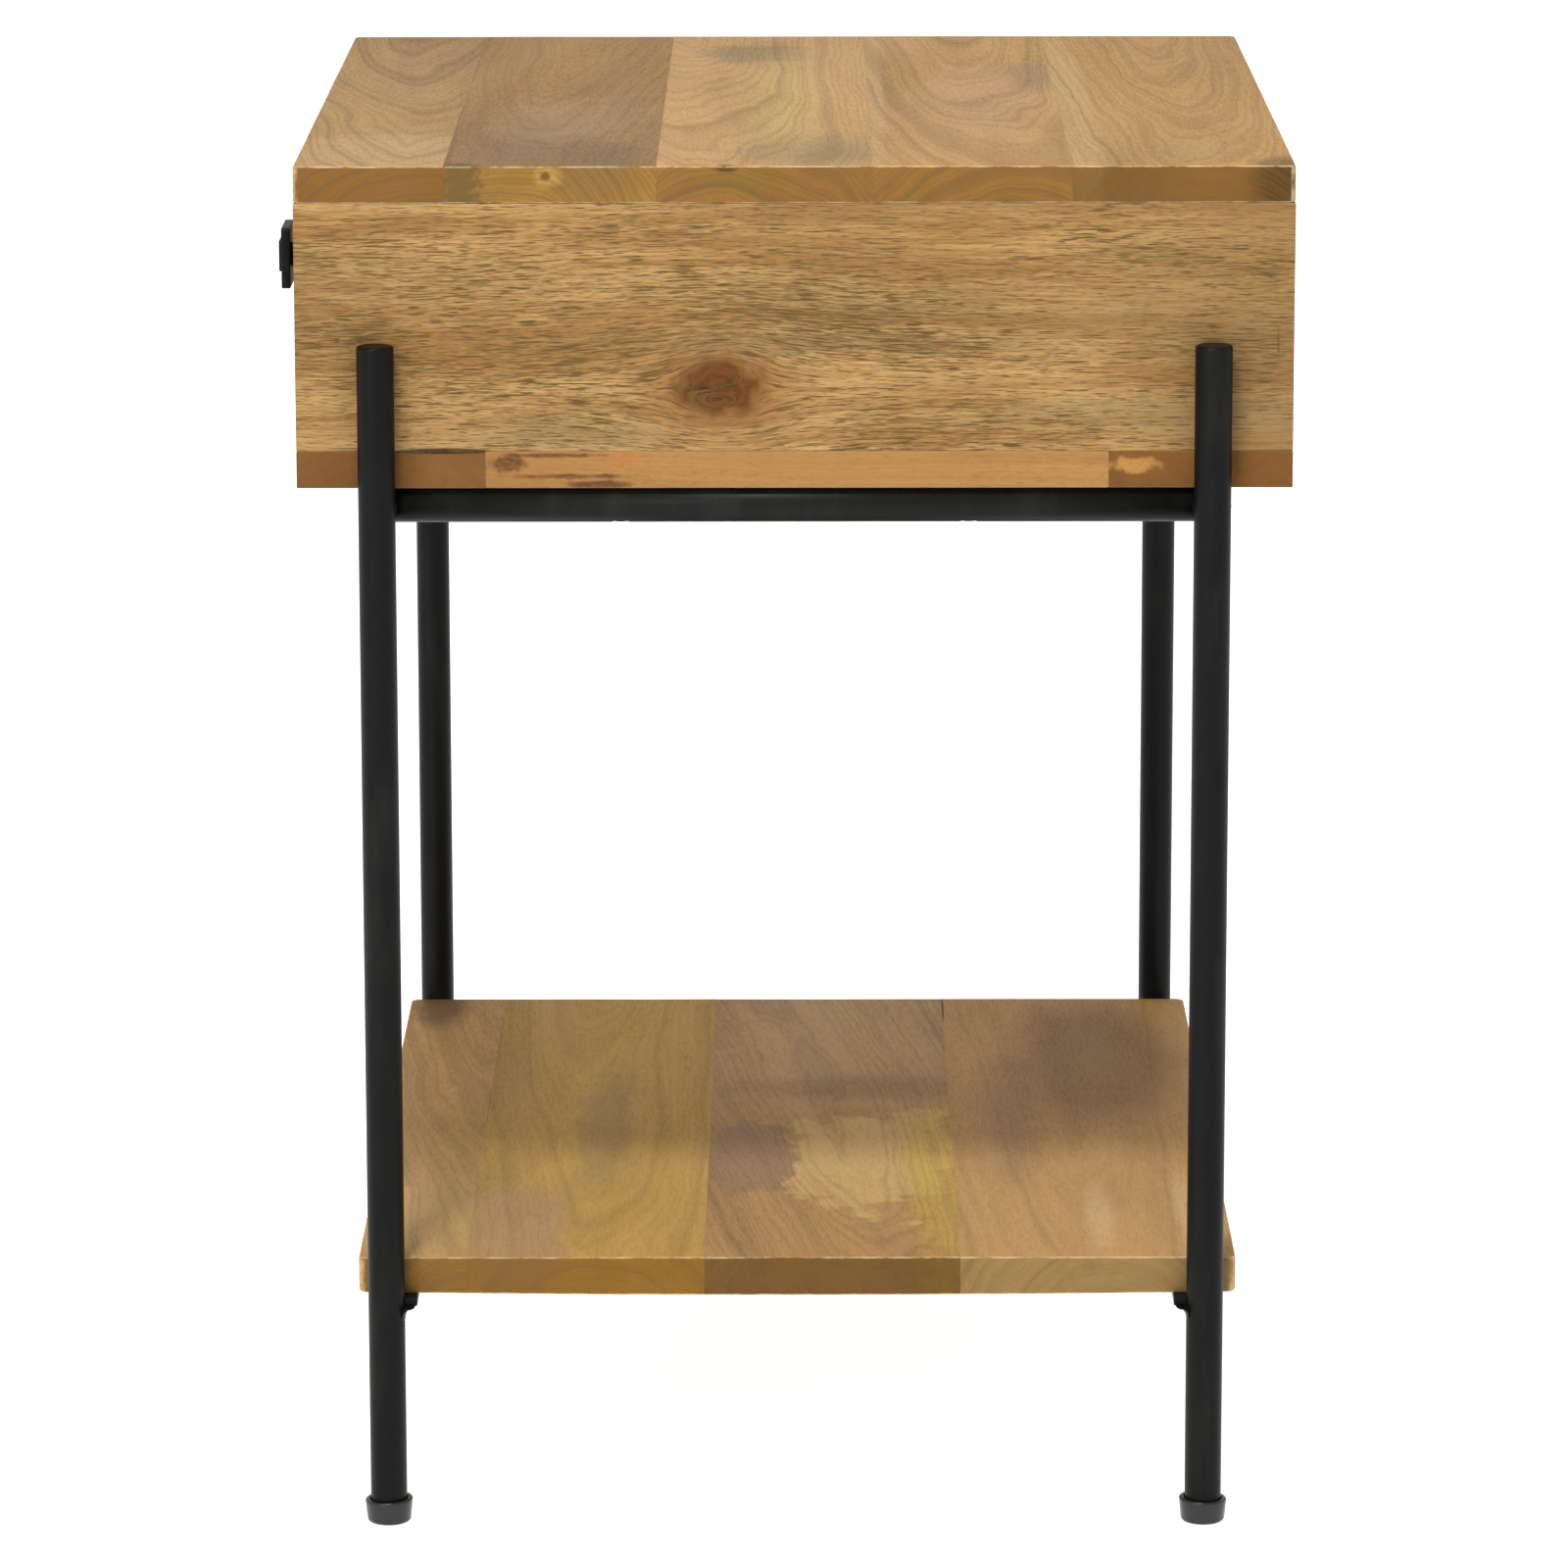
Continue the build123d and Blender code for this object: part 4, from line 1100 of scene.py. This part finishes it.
RAIL_ALONG = WoodFinish(
    light=(0.368, 0.200, 0.066),
    dark=(0.250, 0.118, 0.033),
    grain=Grain.ALONG,
    pith=(-0.03, 0.03),
    wander=0.004,
    ring_depth=0.15,
    pore_depth=0.4,
    pore_length=0.006,
    pore_width=0.0012,
    pore_colour=(0.27, 0.11, 0.035),
    grey_share=0.25,
    wear_and_highlight=0.12,
    seed=61.0,
    stains_and_painted_light=(
        ColourPatch((1.0, -0.93, 0.35), (0.02, 0.007, 0.0035), (0.045, 0.02, 0.01), 0.85, 0.4, 0.5, 160.0),
        ColourPatch((1.0, -0.78, 0.78), (0.02, 0.017, 0.0009), (0.05, 0.022, 0.01), 0.85, 0.5, 0.5, 120.0),
        ColourPatch((1.0, -0.74, -0.35), (0.02, 0.022, 0.0010), (0.06, 0.025, 0.01), 0.8, 0.5, 0.6, 120.0),
        ColourPatch((1.0, -0.63, -0.8), (0.02, 0.011, 0.0016), (0.05, 0.02, 0.01), 0.85, 0.4, 0.4, 120.0),
        ColourPatch((1.0, -0.55, 0.5), (0.02, 0.006, 0.0025), (0.40, 0.14, 0.04), 0.6, 0.5, 0.4, 120.0),
    ),
)

RAIL_ACROSS = WoodFinish(
    light=(0.252, 0.137, 0.046),
    dark=(0.170, 0.083, 0.025),
    end_tint=(0.72, 0.58, 0.45),
    pith=(0.0, -0.05),
    ring_depth=0.2,
    line_depth=0.12,
    pore_depth=0.3,
    wear_and_highlight=0.12,
    # Painted shade: a thin dark line along the top edge, in the open seam below the side panel.
    stains_and_painted_light=(ColourPatch((1.0, 0.54, 1.0), (0.004, 0.019, 0.0010), (0.02, 0.011, 0.005), 0.9, 0.3, 0.1),),
    seed=66.0,
)

RAIL_REAR = replace(
    RAIL_ACROSS,
    light=(0.280, 0.148, 0.045),
    dark=(0.195, 0.093, 0.026),
    end_tint=(0.72, 0.58, 0.42),
    pith=(0.01, 0.05),
    seed=69.5,
    stains_and_painted_light=(ColourPatch((1.0, -0.72, 0.22), (0.004, 0.0088, 0.0030), (0.60, 0.37, 0.14), 0.85, 0.35, 0.5, 160.0),),
)

INNER_WOOD = WoodFinish(
    light=(0.62, 0.46, 0.27),
    dark=(0.49, 0.34, 0.18),
    grain=Grain.ALONG,
    pore_depth=0.25,
    grey_share=0.1,
    wear_and_highlight=0.3,
    seed=73.0,
)

INNER_BACK = replace(INNER_WOOD, grain=Grain.ACROSS, seed=77.0)

PLYWOOD = WoodFinish(
    light=(0.66, 0.51, 0.33),
    dark=(0.55, 0.40, 0.23),
    pith=(0.0, -0.4),
    tilt=(0.02, 0.0),
    ring_width=0.02,
    pore_depth=0.18,
    grey_share=0.05,
    wear_and_highlight=0.2,
    seed=81.0,
)


# ------------------------------------------------------------------ steel frame
@dataclass
class SteelFrame:
    """Round legs with closed tops, rails under the case, welds, lugs and feet."""

    coat: bpy.types.Material
    # Lighter copy of the leg coat for the rails: painted light for the light that their upper side catches.
    lit_rail_coat: bpy.types.Material
    plastic: bpy.types.Material
    facets: int = 72
    top_easing: float = 1.1 * MM
    bead_ring: float = 6.3 * MM
    bead_size: float = 1.5 * MM
    bead_ripples: int = 17
    fillet_size: float = 4.4 * MM
    fillet_sweep: float = math.radians(156)
    fillet_steps: int = 6

    def build(self) -> None:
        """Make the legs, the rails, the weld beads and the feet."""
        for corner in CORNERS:
            self.leg(*corner)
            self.foot(*corner)
            self.lug_weld(*corner)
        for side in ("left", "right"):
            self.rail(side)
        self.rail_welds()
        for end, side in CORNERS:
            dress(f"shelf_lug_{end}_{side}", self.coat)

    def leg(self, end: str, side: str) -> None:
        """Make one leg, turned in one piece with its welded end plate."""
        node = f"leg_{end}_{side}"
        low, high = corners_of(node)
        top = corners_of("leg_end_plates")[1].z
        radius = (high.x - low.x) / 2
        rim = self.top_easing
        profile = [(0.0, low.z), (radius - rim, low.z), (radius, low.z + rim)]
        profile += [(radius, low.z + (top - low.z) * step / 8) for step in range(1, 8)]
        profile += quarter(radius - rim, top - rim, rim, 0.0)
        profile += [(radius * 0.55, top + 0.1 * MM), (0.0, top + 0.12 * MM)]
        mesh = spun(profile, self.facets)
        move_mesh(mesh, (low.x + high.x) / 2, (low.y + high.y) / 2, 0.0)
        piece = finish_mesh(f"{node}_bar", mesh, Body.TABLE, self.coat)
        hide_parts(node, *(["leg_end_plates"] if (end, side) == ("front", "left") else []))

    def rail(self, side: str) -> None:
        """Make one rail, which lies under the case from leg to leg."""
        node = f"side_rail_{side}"
        mesh = bmesh.new()
        mesh.from_mesh(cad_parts[node].data)
        bmesh.ops.remove_doubles(mesh, verts=mesh.verts, dist=CLOSE)
        # The rail gets the lighter coat, painted light for its lit upper side.
        piece = finish_mesh(f"{node}_bar", mesh, Body.TABLE, self.lit_rail_coat)
        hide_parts(node)

    def bead(self, end: str, side: str) -> bmesh.types.BMesh:
        """Make the rippled bead round the crossing of one leg and its rail."""
        leg_low, leg_high = corners_of(f"leg_{end}_{side}")
        rail_low, rail_high = corners_of(f"side_rail_{side}")
        leg_radius = (leg_high.x - leg_low.x) / 2
        rail_radius = (rail_high.x - rail_low.x) / 2
        leg, rail = (leg_low + leg_high) / 2, (rail_low + rail_high) / 2
        outward = -1.0 if side == "left" else 1.0
        ring = bmesh.new()
        bmesh.ops.create_circle(ring, segments=14, radius=self.bead_size)
        turn_mesh(ring, QUARTER_TURN, "X")
        move_mesh(ring, self.bead_ring, 0.0, 0.0)
        spin_whole(ring, self.facets)
        turn_mesh(ring, QUARTER_TURN, "Y")
        for vert in ring.verts:
            around = math.atan2(vert.co.z, vert.co.y)
            y, z = self.bead_ring * math.cos(around), self.bead_ring * math.sin(around)
            from_rail = math.sqrt(max(rail_radius**2 - z**2, 0.0))
            from_leg = math.sqrt(max(leg_radius**2 - y**2, 0.0))
            gap = abs(leg.x - rail.x) - from_rail - from_leg
            grit = noise.noise(vert.co * 700.0 + Vector((leg.y, 0.0, 0.0)))
            ripple = 1.0 + 0.10 * math.sin(self.bead_ripples * around) + 0.12 * grit
            thick = (1.0 + gap / (2 * self.bead_size)) * ripple
            vert.co.x = rail.x + outward * (from_rail + gap / 2) + vert.co.x * thick
            vert.co.y = leg.y + y + (vert.co.y - y) * ripple
            vert.co.z = rail.z + z + (vert.co.z - z) * ripple
        return ring

    def rail_welds(self) -> None:
        """Make the beads that join the rails to the legs, as one piece."""
        whole = bmesh.new()
        for corner in CORNERS:
            ring = self.bead(*corner)
            shape = bpy.data.meshes.new("bead")
            ring.to_mesh(shape)
            ring.free()
            whole.from_mesh(shape)
            bpy.data.meshes.remove(shape)
        piece = finish_mesh("rail_weld_beads", whole, Body.TABLE, self.coat)
        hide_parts("rail_welds")

    def lug_weld(self, end: str, side: str) -> None:
        """Make the hollow fillet weld under one shelf lug."""
        leg_low, leg_high = corners_of(f"leg_{end}_{side}")
        lug_low, _ = corners_of(f"shelf_lug_{end}_{side}")
        radius = (leg_high.x - leg_low.x) / 2
        size = self.fillet_size
        inward = 1.0 if end == "front" else -1.0
        across = -1.0 if side == "right" else 1.0
        start = math.atan2(inward, across) - self.fillet_sweep / 2
        mesh = bmesh.new()
        outline = [(radius - 0.4 * MM, 0.0), (radius - 0.4 * MM, -size * 1.35)]
        for step in range(self.fillet_steps + 1):
            turn = QUARTER_TURN * step / self.fillet_steps
            outline.append((radius + size * (1 - math.cos(turn)), -size * 1.25 * (1 - math.sin(turn))))
        points = [mesh.verts.new((r, 0.0, z)) for r, z in outline]
        face = mesh.faces.new(points)
        turn_mesh(mesh, start, "Z")
        bmesh.ops.spin(
            mesh, geom=[face], cent=ORIGIN, axis=UP, angle=self.fillet_sweep, steps=26, use_merge=False
        )
        for vert in mesh.verts:
            bump = noise.noise(vert.co * 520.0 + Vector((leg_low.x * 9.0, leg_low.y * 9.0, 0.0)))
            vert.co += Vector((vert.co.x, vert.co.y, 0.0)).normalized() * bump * 0.35 * MM
        move_mesh(mesh, (leg_low.x + leg_high.x) / 2, (leg_low.y + leg_high.y) / 2, lug_low.z)
        piece = finish_mesh(f"lug_weld_{end}_{side}", mesh, Body.TABLE, self.coat)

    def foot(self, end: str, side: str) -> None:
        """Make one moulded foot cap, with a rounded lip and a tapered wall."""
        node = f"foot_cap_{end}_{side}"
        low, high = corners_of(node)
        leg_low, leg_high = corners_of(f"leg_{end}_{side}")
        bore = (leg_high.x - leg_low.x) / 2
        outer = (high.x - low.x) / 2
        sole = outer - 0.75 * MM
        height = high.z - low.z
        lip = 0.9 * MM
        corner = 1.8 * MM
        dish = 0.5 * MM
        profile = [(0.0, dish), (sole - 4.0 * MM, dish), (sole - 3.4 * MM, 0.0), (sole - corner, 0.0)]
        profile += quarter(sole - corner, corner, corner, -QUARTER_TURN, 7)
        profile += [(outer - 0.3 * MM, height * 0.62)]
        profile += quarter(outer - lip, height - lip, lip, 0.0, 6)
        profile += [(bore + 0.55 * MM, height - 0.1 * MM), (bore + 0.25 * MM, height - 0.5 * MM)]
        profile += [(bore + 0.22 * MM, height - 1.6 * MM), (bore - 0.3 * MM, height - 1.7 * MM)]
        mesh = spun(profile, self.facets)
        tip = 0.35 * MM if side == "right" else -0.2 * MM
        for vert in mesh.verts:
            if vert.co.z > height * 0.6:
                vert.co.z += tip * vert.co.y / outer * (1.0 if end == "front" else -1.0)
        move_mesh(mesh, (low.x + high.x) / 2, (low.y + high.y) / 2, low.z)
        piece = finish_mesh(f"{node}_moulding", mesh, Body.TABLE, self.plastic)
        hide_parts(node)


# ------------------------------------------------------------------ knob
@dataclass
class Knob:
    """A square plate with a raised middle on a round stem."""

    coat: bpy.types.Material
    easing: float = 0.5 * MM
    corner: float = 1.2 * MM
    boss_side: float = 13.5 * MM
    boss_height: float = 1.5 * MM

    def block(self, mesh: bmesh.types.BMesh, size: Vector, front: Vector) -> None:
        """Add a cast block with rounded corners and eased edges.

        Args:
            mesh: the bmesh that gets the block.
            size: the block's width, depth and height.
            front: the middle of its front face.
        """
        made = bmesh.ops.create_cube(mesh, size=1.0)["verts"]
        bmesh.ops.scale(mesh, vec=size, verts=made)
        bmesh.ops.translate(mesh, vec=front + Vector((0.0, size.y / 2, 0.0)), verts=made)
        edges = {edge for vert in made for edge in vert.link_edges}
        corners = [e for e in edges if abs(e.verts[0].co.y - e.verts[1].co.y) > size.y / 2]
        done = ease(mesh, corners, self.corner, 5)
        faces = {face for vert in done["verts"] for face in vert.link_faces}
        rims = {e for face in faces for e in face.edges if e.calc_face_angle(0.0) > math.radians(60)}
        ease(mesh, rims, self.easing, 3)

    def build(self) -> None:
        """Make the plate and the stem."""
        low, high = corners_of("knob_plate")
        stem_low, stem_high = corners_of("knob_stem")
        middle = (low + high) / 2
        width, _, height = high - low
        back_of_boss = low.y + self.boss_height
        mesh = bmesh.new()
        flat = Vector((width, high.y - back_of_boss, height))
        self.block(mesh, flat, Vector((middle.x, back_of_boss, middle.z)))
        boss = Vector((self.boss_side, self.boss_height + self.easing, self.boss_side))
        self.block(mesh, boss, Vector((middle.x, low.y, middle.z)))
        plate = finish_mesh("knob_plate_cast", mesh, Body.DRAWER, self.coat)
        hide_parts("knob_plate")

        radius = (stem_high.x - stem_low.x) / 2
        length = stem_high.y - stem_low.y
        profile = [(0.0, 0.0), (radius - 0.3 * MM, 0.0), (radius, 0.4 * MM), (radius, length * 0.45)]
        profile += [(radius, length - 2.4 * MM), (radius, length - 1.0 * MM)]
        profile += [(radius - 0.6 * MM, length), (0.0, length)]
        stem = spun(profile, 56)
        turn_mesh(stem, QUARTER_TURN, "X")
        move_mesh(stem, (stem_low.x + stem_high.x) / 2, stem_high.y, (stem_low.z + stem_high.z) / 2)
        piece = finish_mesh("knob_stem_turned", stem, Body.DRAWER, self.coat)
        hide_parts("knob_stem")


def dress(node: str, material: bpy.types.Material) -> None:
    """Give a CAD node its material in every slot.

    Args:
        node: the node's name.
        material: the material that it gets.
    """
    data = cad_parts[node].data
    data.materials.clear()
    data.materials.append(material)


def dress_inside(zinc: bpy.types.Material, coat: bpy.types.Material) -> None:
    """Give the hidden and inner nodes their wood and metal.

    Args:
        zinc: the material of screws, bolts and washers.
        coat: the material of the painted screws under the rails.
    """
    along = ("drawer_side_left", "drawer_side_right", "drawer_guide_left", "drawer_guide_right")
    along += ("drawer_rear_stops",)
    across = ("drawer_back", "pull_out_stop", "case_dowels", "drawer_dowels", "frame_dowels")
    for node in along:
        dress(node, INNER_WOOD.build(node, *corners_of(node)))
    for node in across:
        dress(node, INNER_BACK.build(node, *corners_of(node)))
    for node in ("drawer_bottom", "dust_panel"):
        dress(node, PLYWOOD.build(node, *corners_of(node)))
    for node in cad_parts:
        if node.endswith(("screws", "screw", "bolts", "washers", "washer", "inserts")):
            dress(node, coat if node == "rail_screws" else zinc)


# ------------------------------------------------------------------ studio
@dataclass(frozen=True)
class Studio:
    """A pale floor, soft light from the front left and a long lens far away."""

    floor_size: float = 60.0
    camera_place: tuple[float, float, float] = (3.3083, 0.0129, 0.9666)
    camera_pitch: float = 0.2103
    camera_yaw: float = 0.0023
    camera_roll: float = -0.0015
    lens: float = 178.8
    paper: float = 0.60
    paper_glow: float = 0.85
    sky: float = 0.72

    def build(self) -> None:
        """Make the floor, the lights and the camera."""
        mesh = bmesh.new()
        bmesh.ops.create_grid(mesh, x_segments=1, y_segments=1, size=self.floor_size / 2)
        data = bpy.data.meshes.new("floor")
        mesh.to_mesh(data)
        mesh.free()
        floor = bpy.data.objects.new("floor", data)
        bpy.context.scene.collection.objects.link(floor)
        material, _, shader = new_material("floor_paper")
        shader.inputs["Base Color"].default_value = (self.paper, self.paper, self.paper, 1.0)
        shader.inputs["Roughness"].default_value = 0.9
        shader.inputs["Specular IOR Level"].default_value = 0.1
        shader.inputs["Emission Color"].default_value = (1.0, 1.0, 1.0, 1.0)
        shader.inputs["Emission Strength"].default_value = self.paper_glow
        data.materials.append(material)

        world = bpy.data.worlds.new("studio")
        world.use_nodes = True
        world.node_tree.nodes["Background"].inputs["Color"].default_value = (1.0, 1.0, 1.0, 1.0)
        world.node_tree.nodes["Background"].inputs["Strength"].default_value = self.sky
        bpy.context.scene.world = world
        self.softbox("key", (1.75, -0.5, 3.2), 0.38, 62.0)
        self.softbox("front_fill", (3.0, -1.9, 1.5), 0.9, 30.0)

        lens = bpy.data.cameras.new("camera")
        lens.lens = self.lens
        lens.sensor_width = 36.0
        lens.clip_end = 100.0
        camera = bpy.data.objects.new("camera", lens)
        bpy.context.scene.collection.objects.link(camera)
        aim = Euler((math.pi / 2 - self.camera_pitch, 0.0, math.pi / 2 + self.camera_yaw)).to_matrix()
        turn = aim @ Matrix.Rotation(self.camera_roll, 3, "Z")
        camera.matrix_world = Matrix.Translation(self.camera_place) @ turn.to_4x4()
        bpy.context.scene.camera = camera
        bpy.context.scene.view_settings.view_transform = "Standard"

    def softbox(self, name: str, place: tuple[float, float, float], size: float, power: float) -> None:
        """Make a square area light that faces the table.

        Args:
            name: the light's name.
            place: where it hangs.
            size: its side in metres.
            power: its power in watts.
        """
        light = bpy.data.lights.new(name, "AREA")
        light.shape = "SQUARE"
        light.size = size
        light.energy = power
        lamp = bpy.data.objects.new(name, light)
        bpy.context.scene.collection.objects.link(lamp)
        direction = Vector((0.0, 0.0, 0.3)) - Vector(place)
        facing = direction.to_track_quat("-Z", "Y").to_matrix().to_4x4()
        lamp.matrix_world = Matrix.Translation(place) @ facing


def main() -> None:
    """Build every sub-assembly, dress the rest and light the scene."""
    logging.basicConfig(level=logging.INFO, format="%(name)s %(message)s")
    Effects.build()
    Studio().build()
    coat = CoatFinish().build("powder_coat")
    moulded = CoatFinish((0.010, 0.010, 0.0095), roughness=0.27, grain=1600.0, bump=0.02, reflectance=0.4)
    plastic = moulded.build("foot_plastic")
    # Painted light: the rails get a lighter copy of the leg coat, which stands in for the light that their
    # upper side catches.
    lit_rail_coat = CoatFinish(colour=(0.0062, 0.0060, 0.0054)).build("powder_coat_painted_lit")
    zinc = ZincFinish().build("zinc_plate")
    GluedPanel("top", TOP_FINISHES, BoardShape()).build()
    GluedPanel("shelf", SHELF_FINISHES, BoardShape(corner=4.0 * MM, swell=1.2 * MM)).build()
    walls = {
        "side_panel_right": SIDE_FINISH,
        "side_panel_left": PLAIN_SIDE,
        "back_panel": FACE_FINISH,
    }
    SingleBoards(walls, BoardShape(rim=0.45 * MM, corner=0.0)).build()
    rails = {
        "bottom_rail_front": RAIL_ACROSS,
        "bottom_rail_rear": RAIL_REAR,
        "bottom_rail_right": RAIL_ALONG,
        "bottom_rail_left": RAIL_ALONG,
    }
    SingleBoards(rails, BoardShape(rim=0.4 * MM, corner=0.0)).build()
    SingleBoards({"drawer_front": FACE_FINISH}, BoardShape(rim=0.9 * MM, corner=0.0), Body.DRAWER).build()
    SteelFrame(coat, lit_rail_coat, plastic).build()
    Knob(coat).build()
    dress_inside(zinc, coat)


if __name__ == "__main__":
    main()
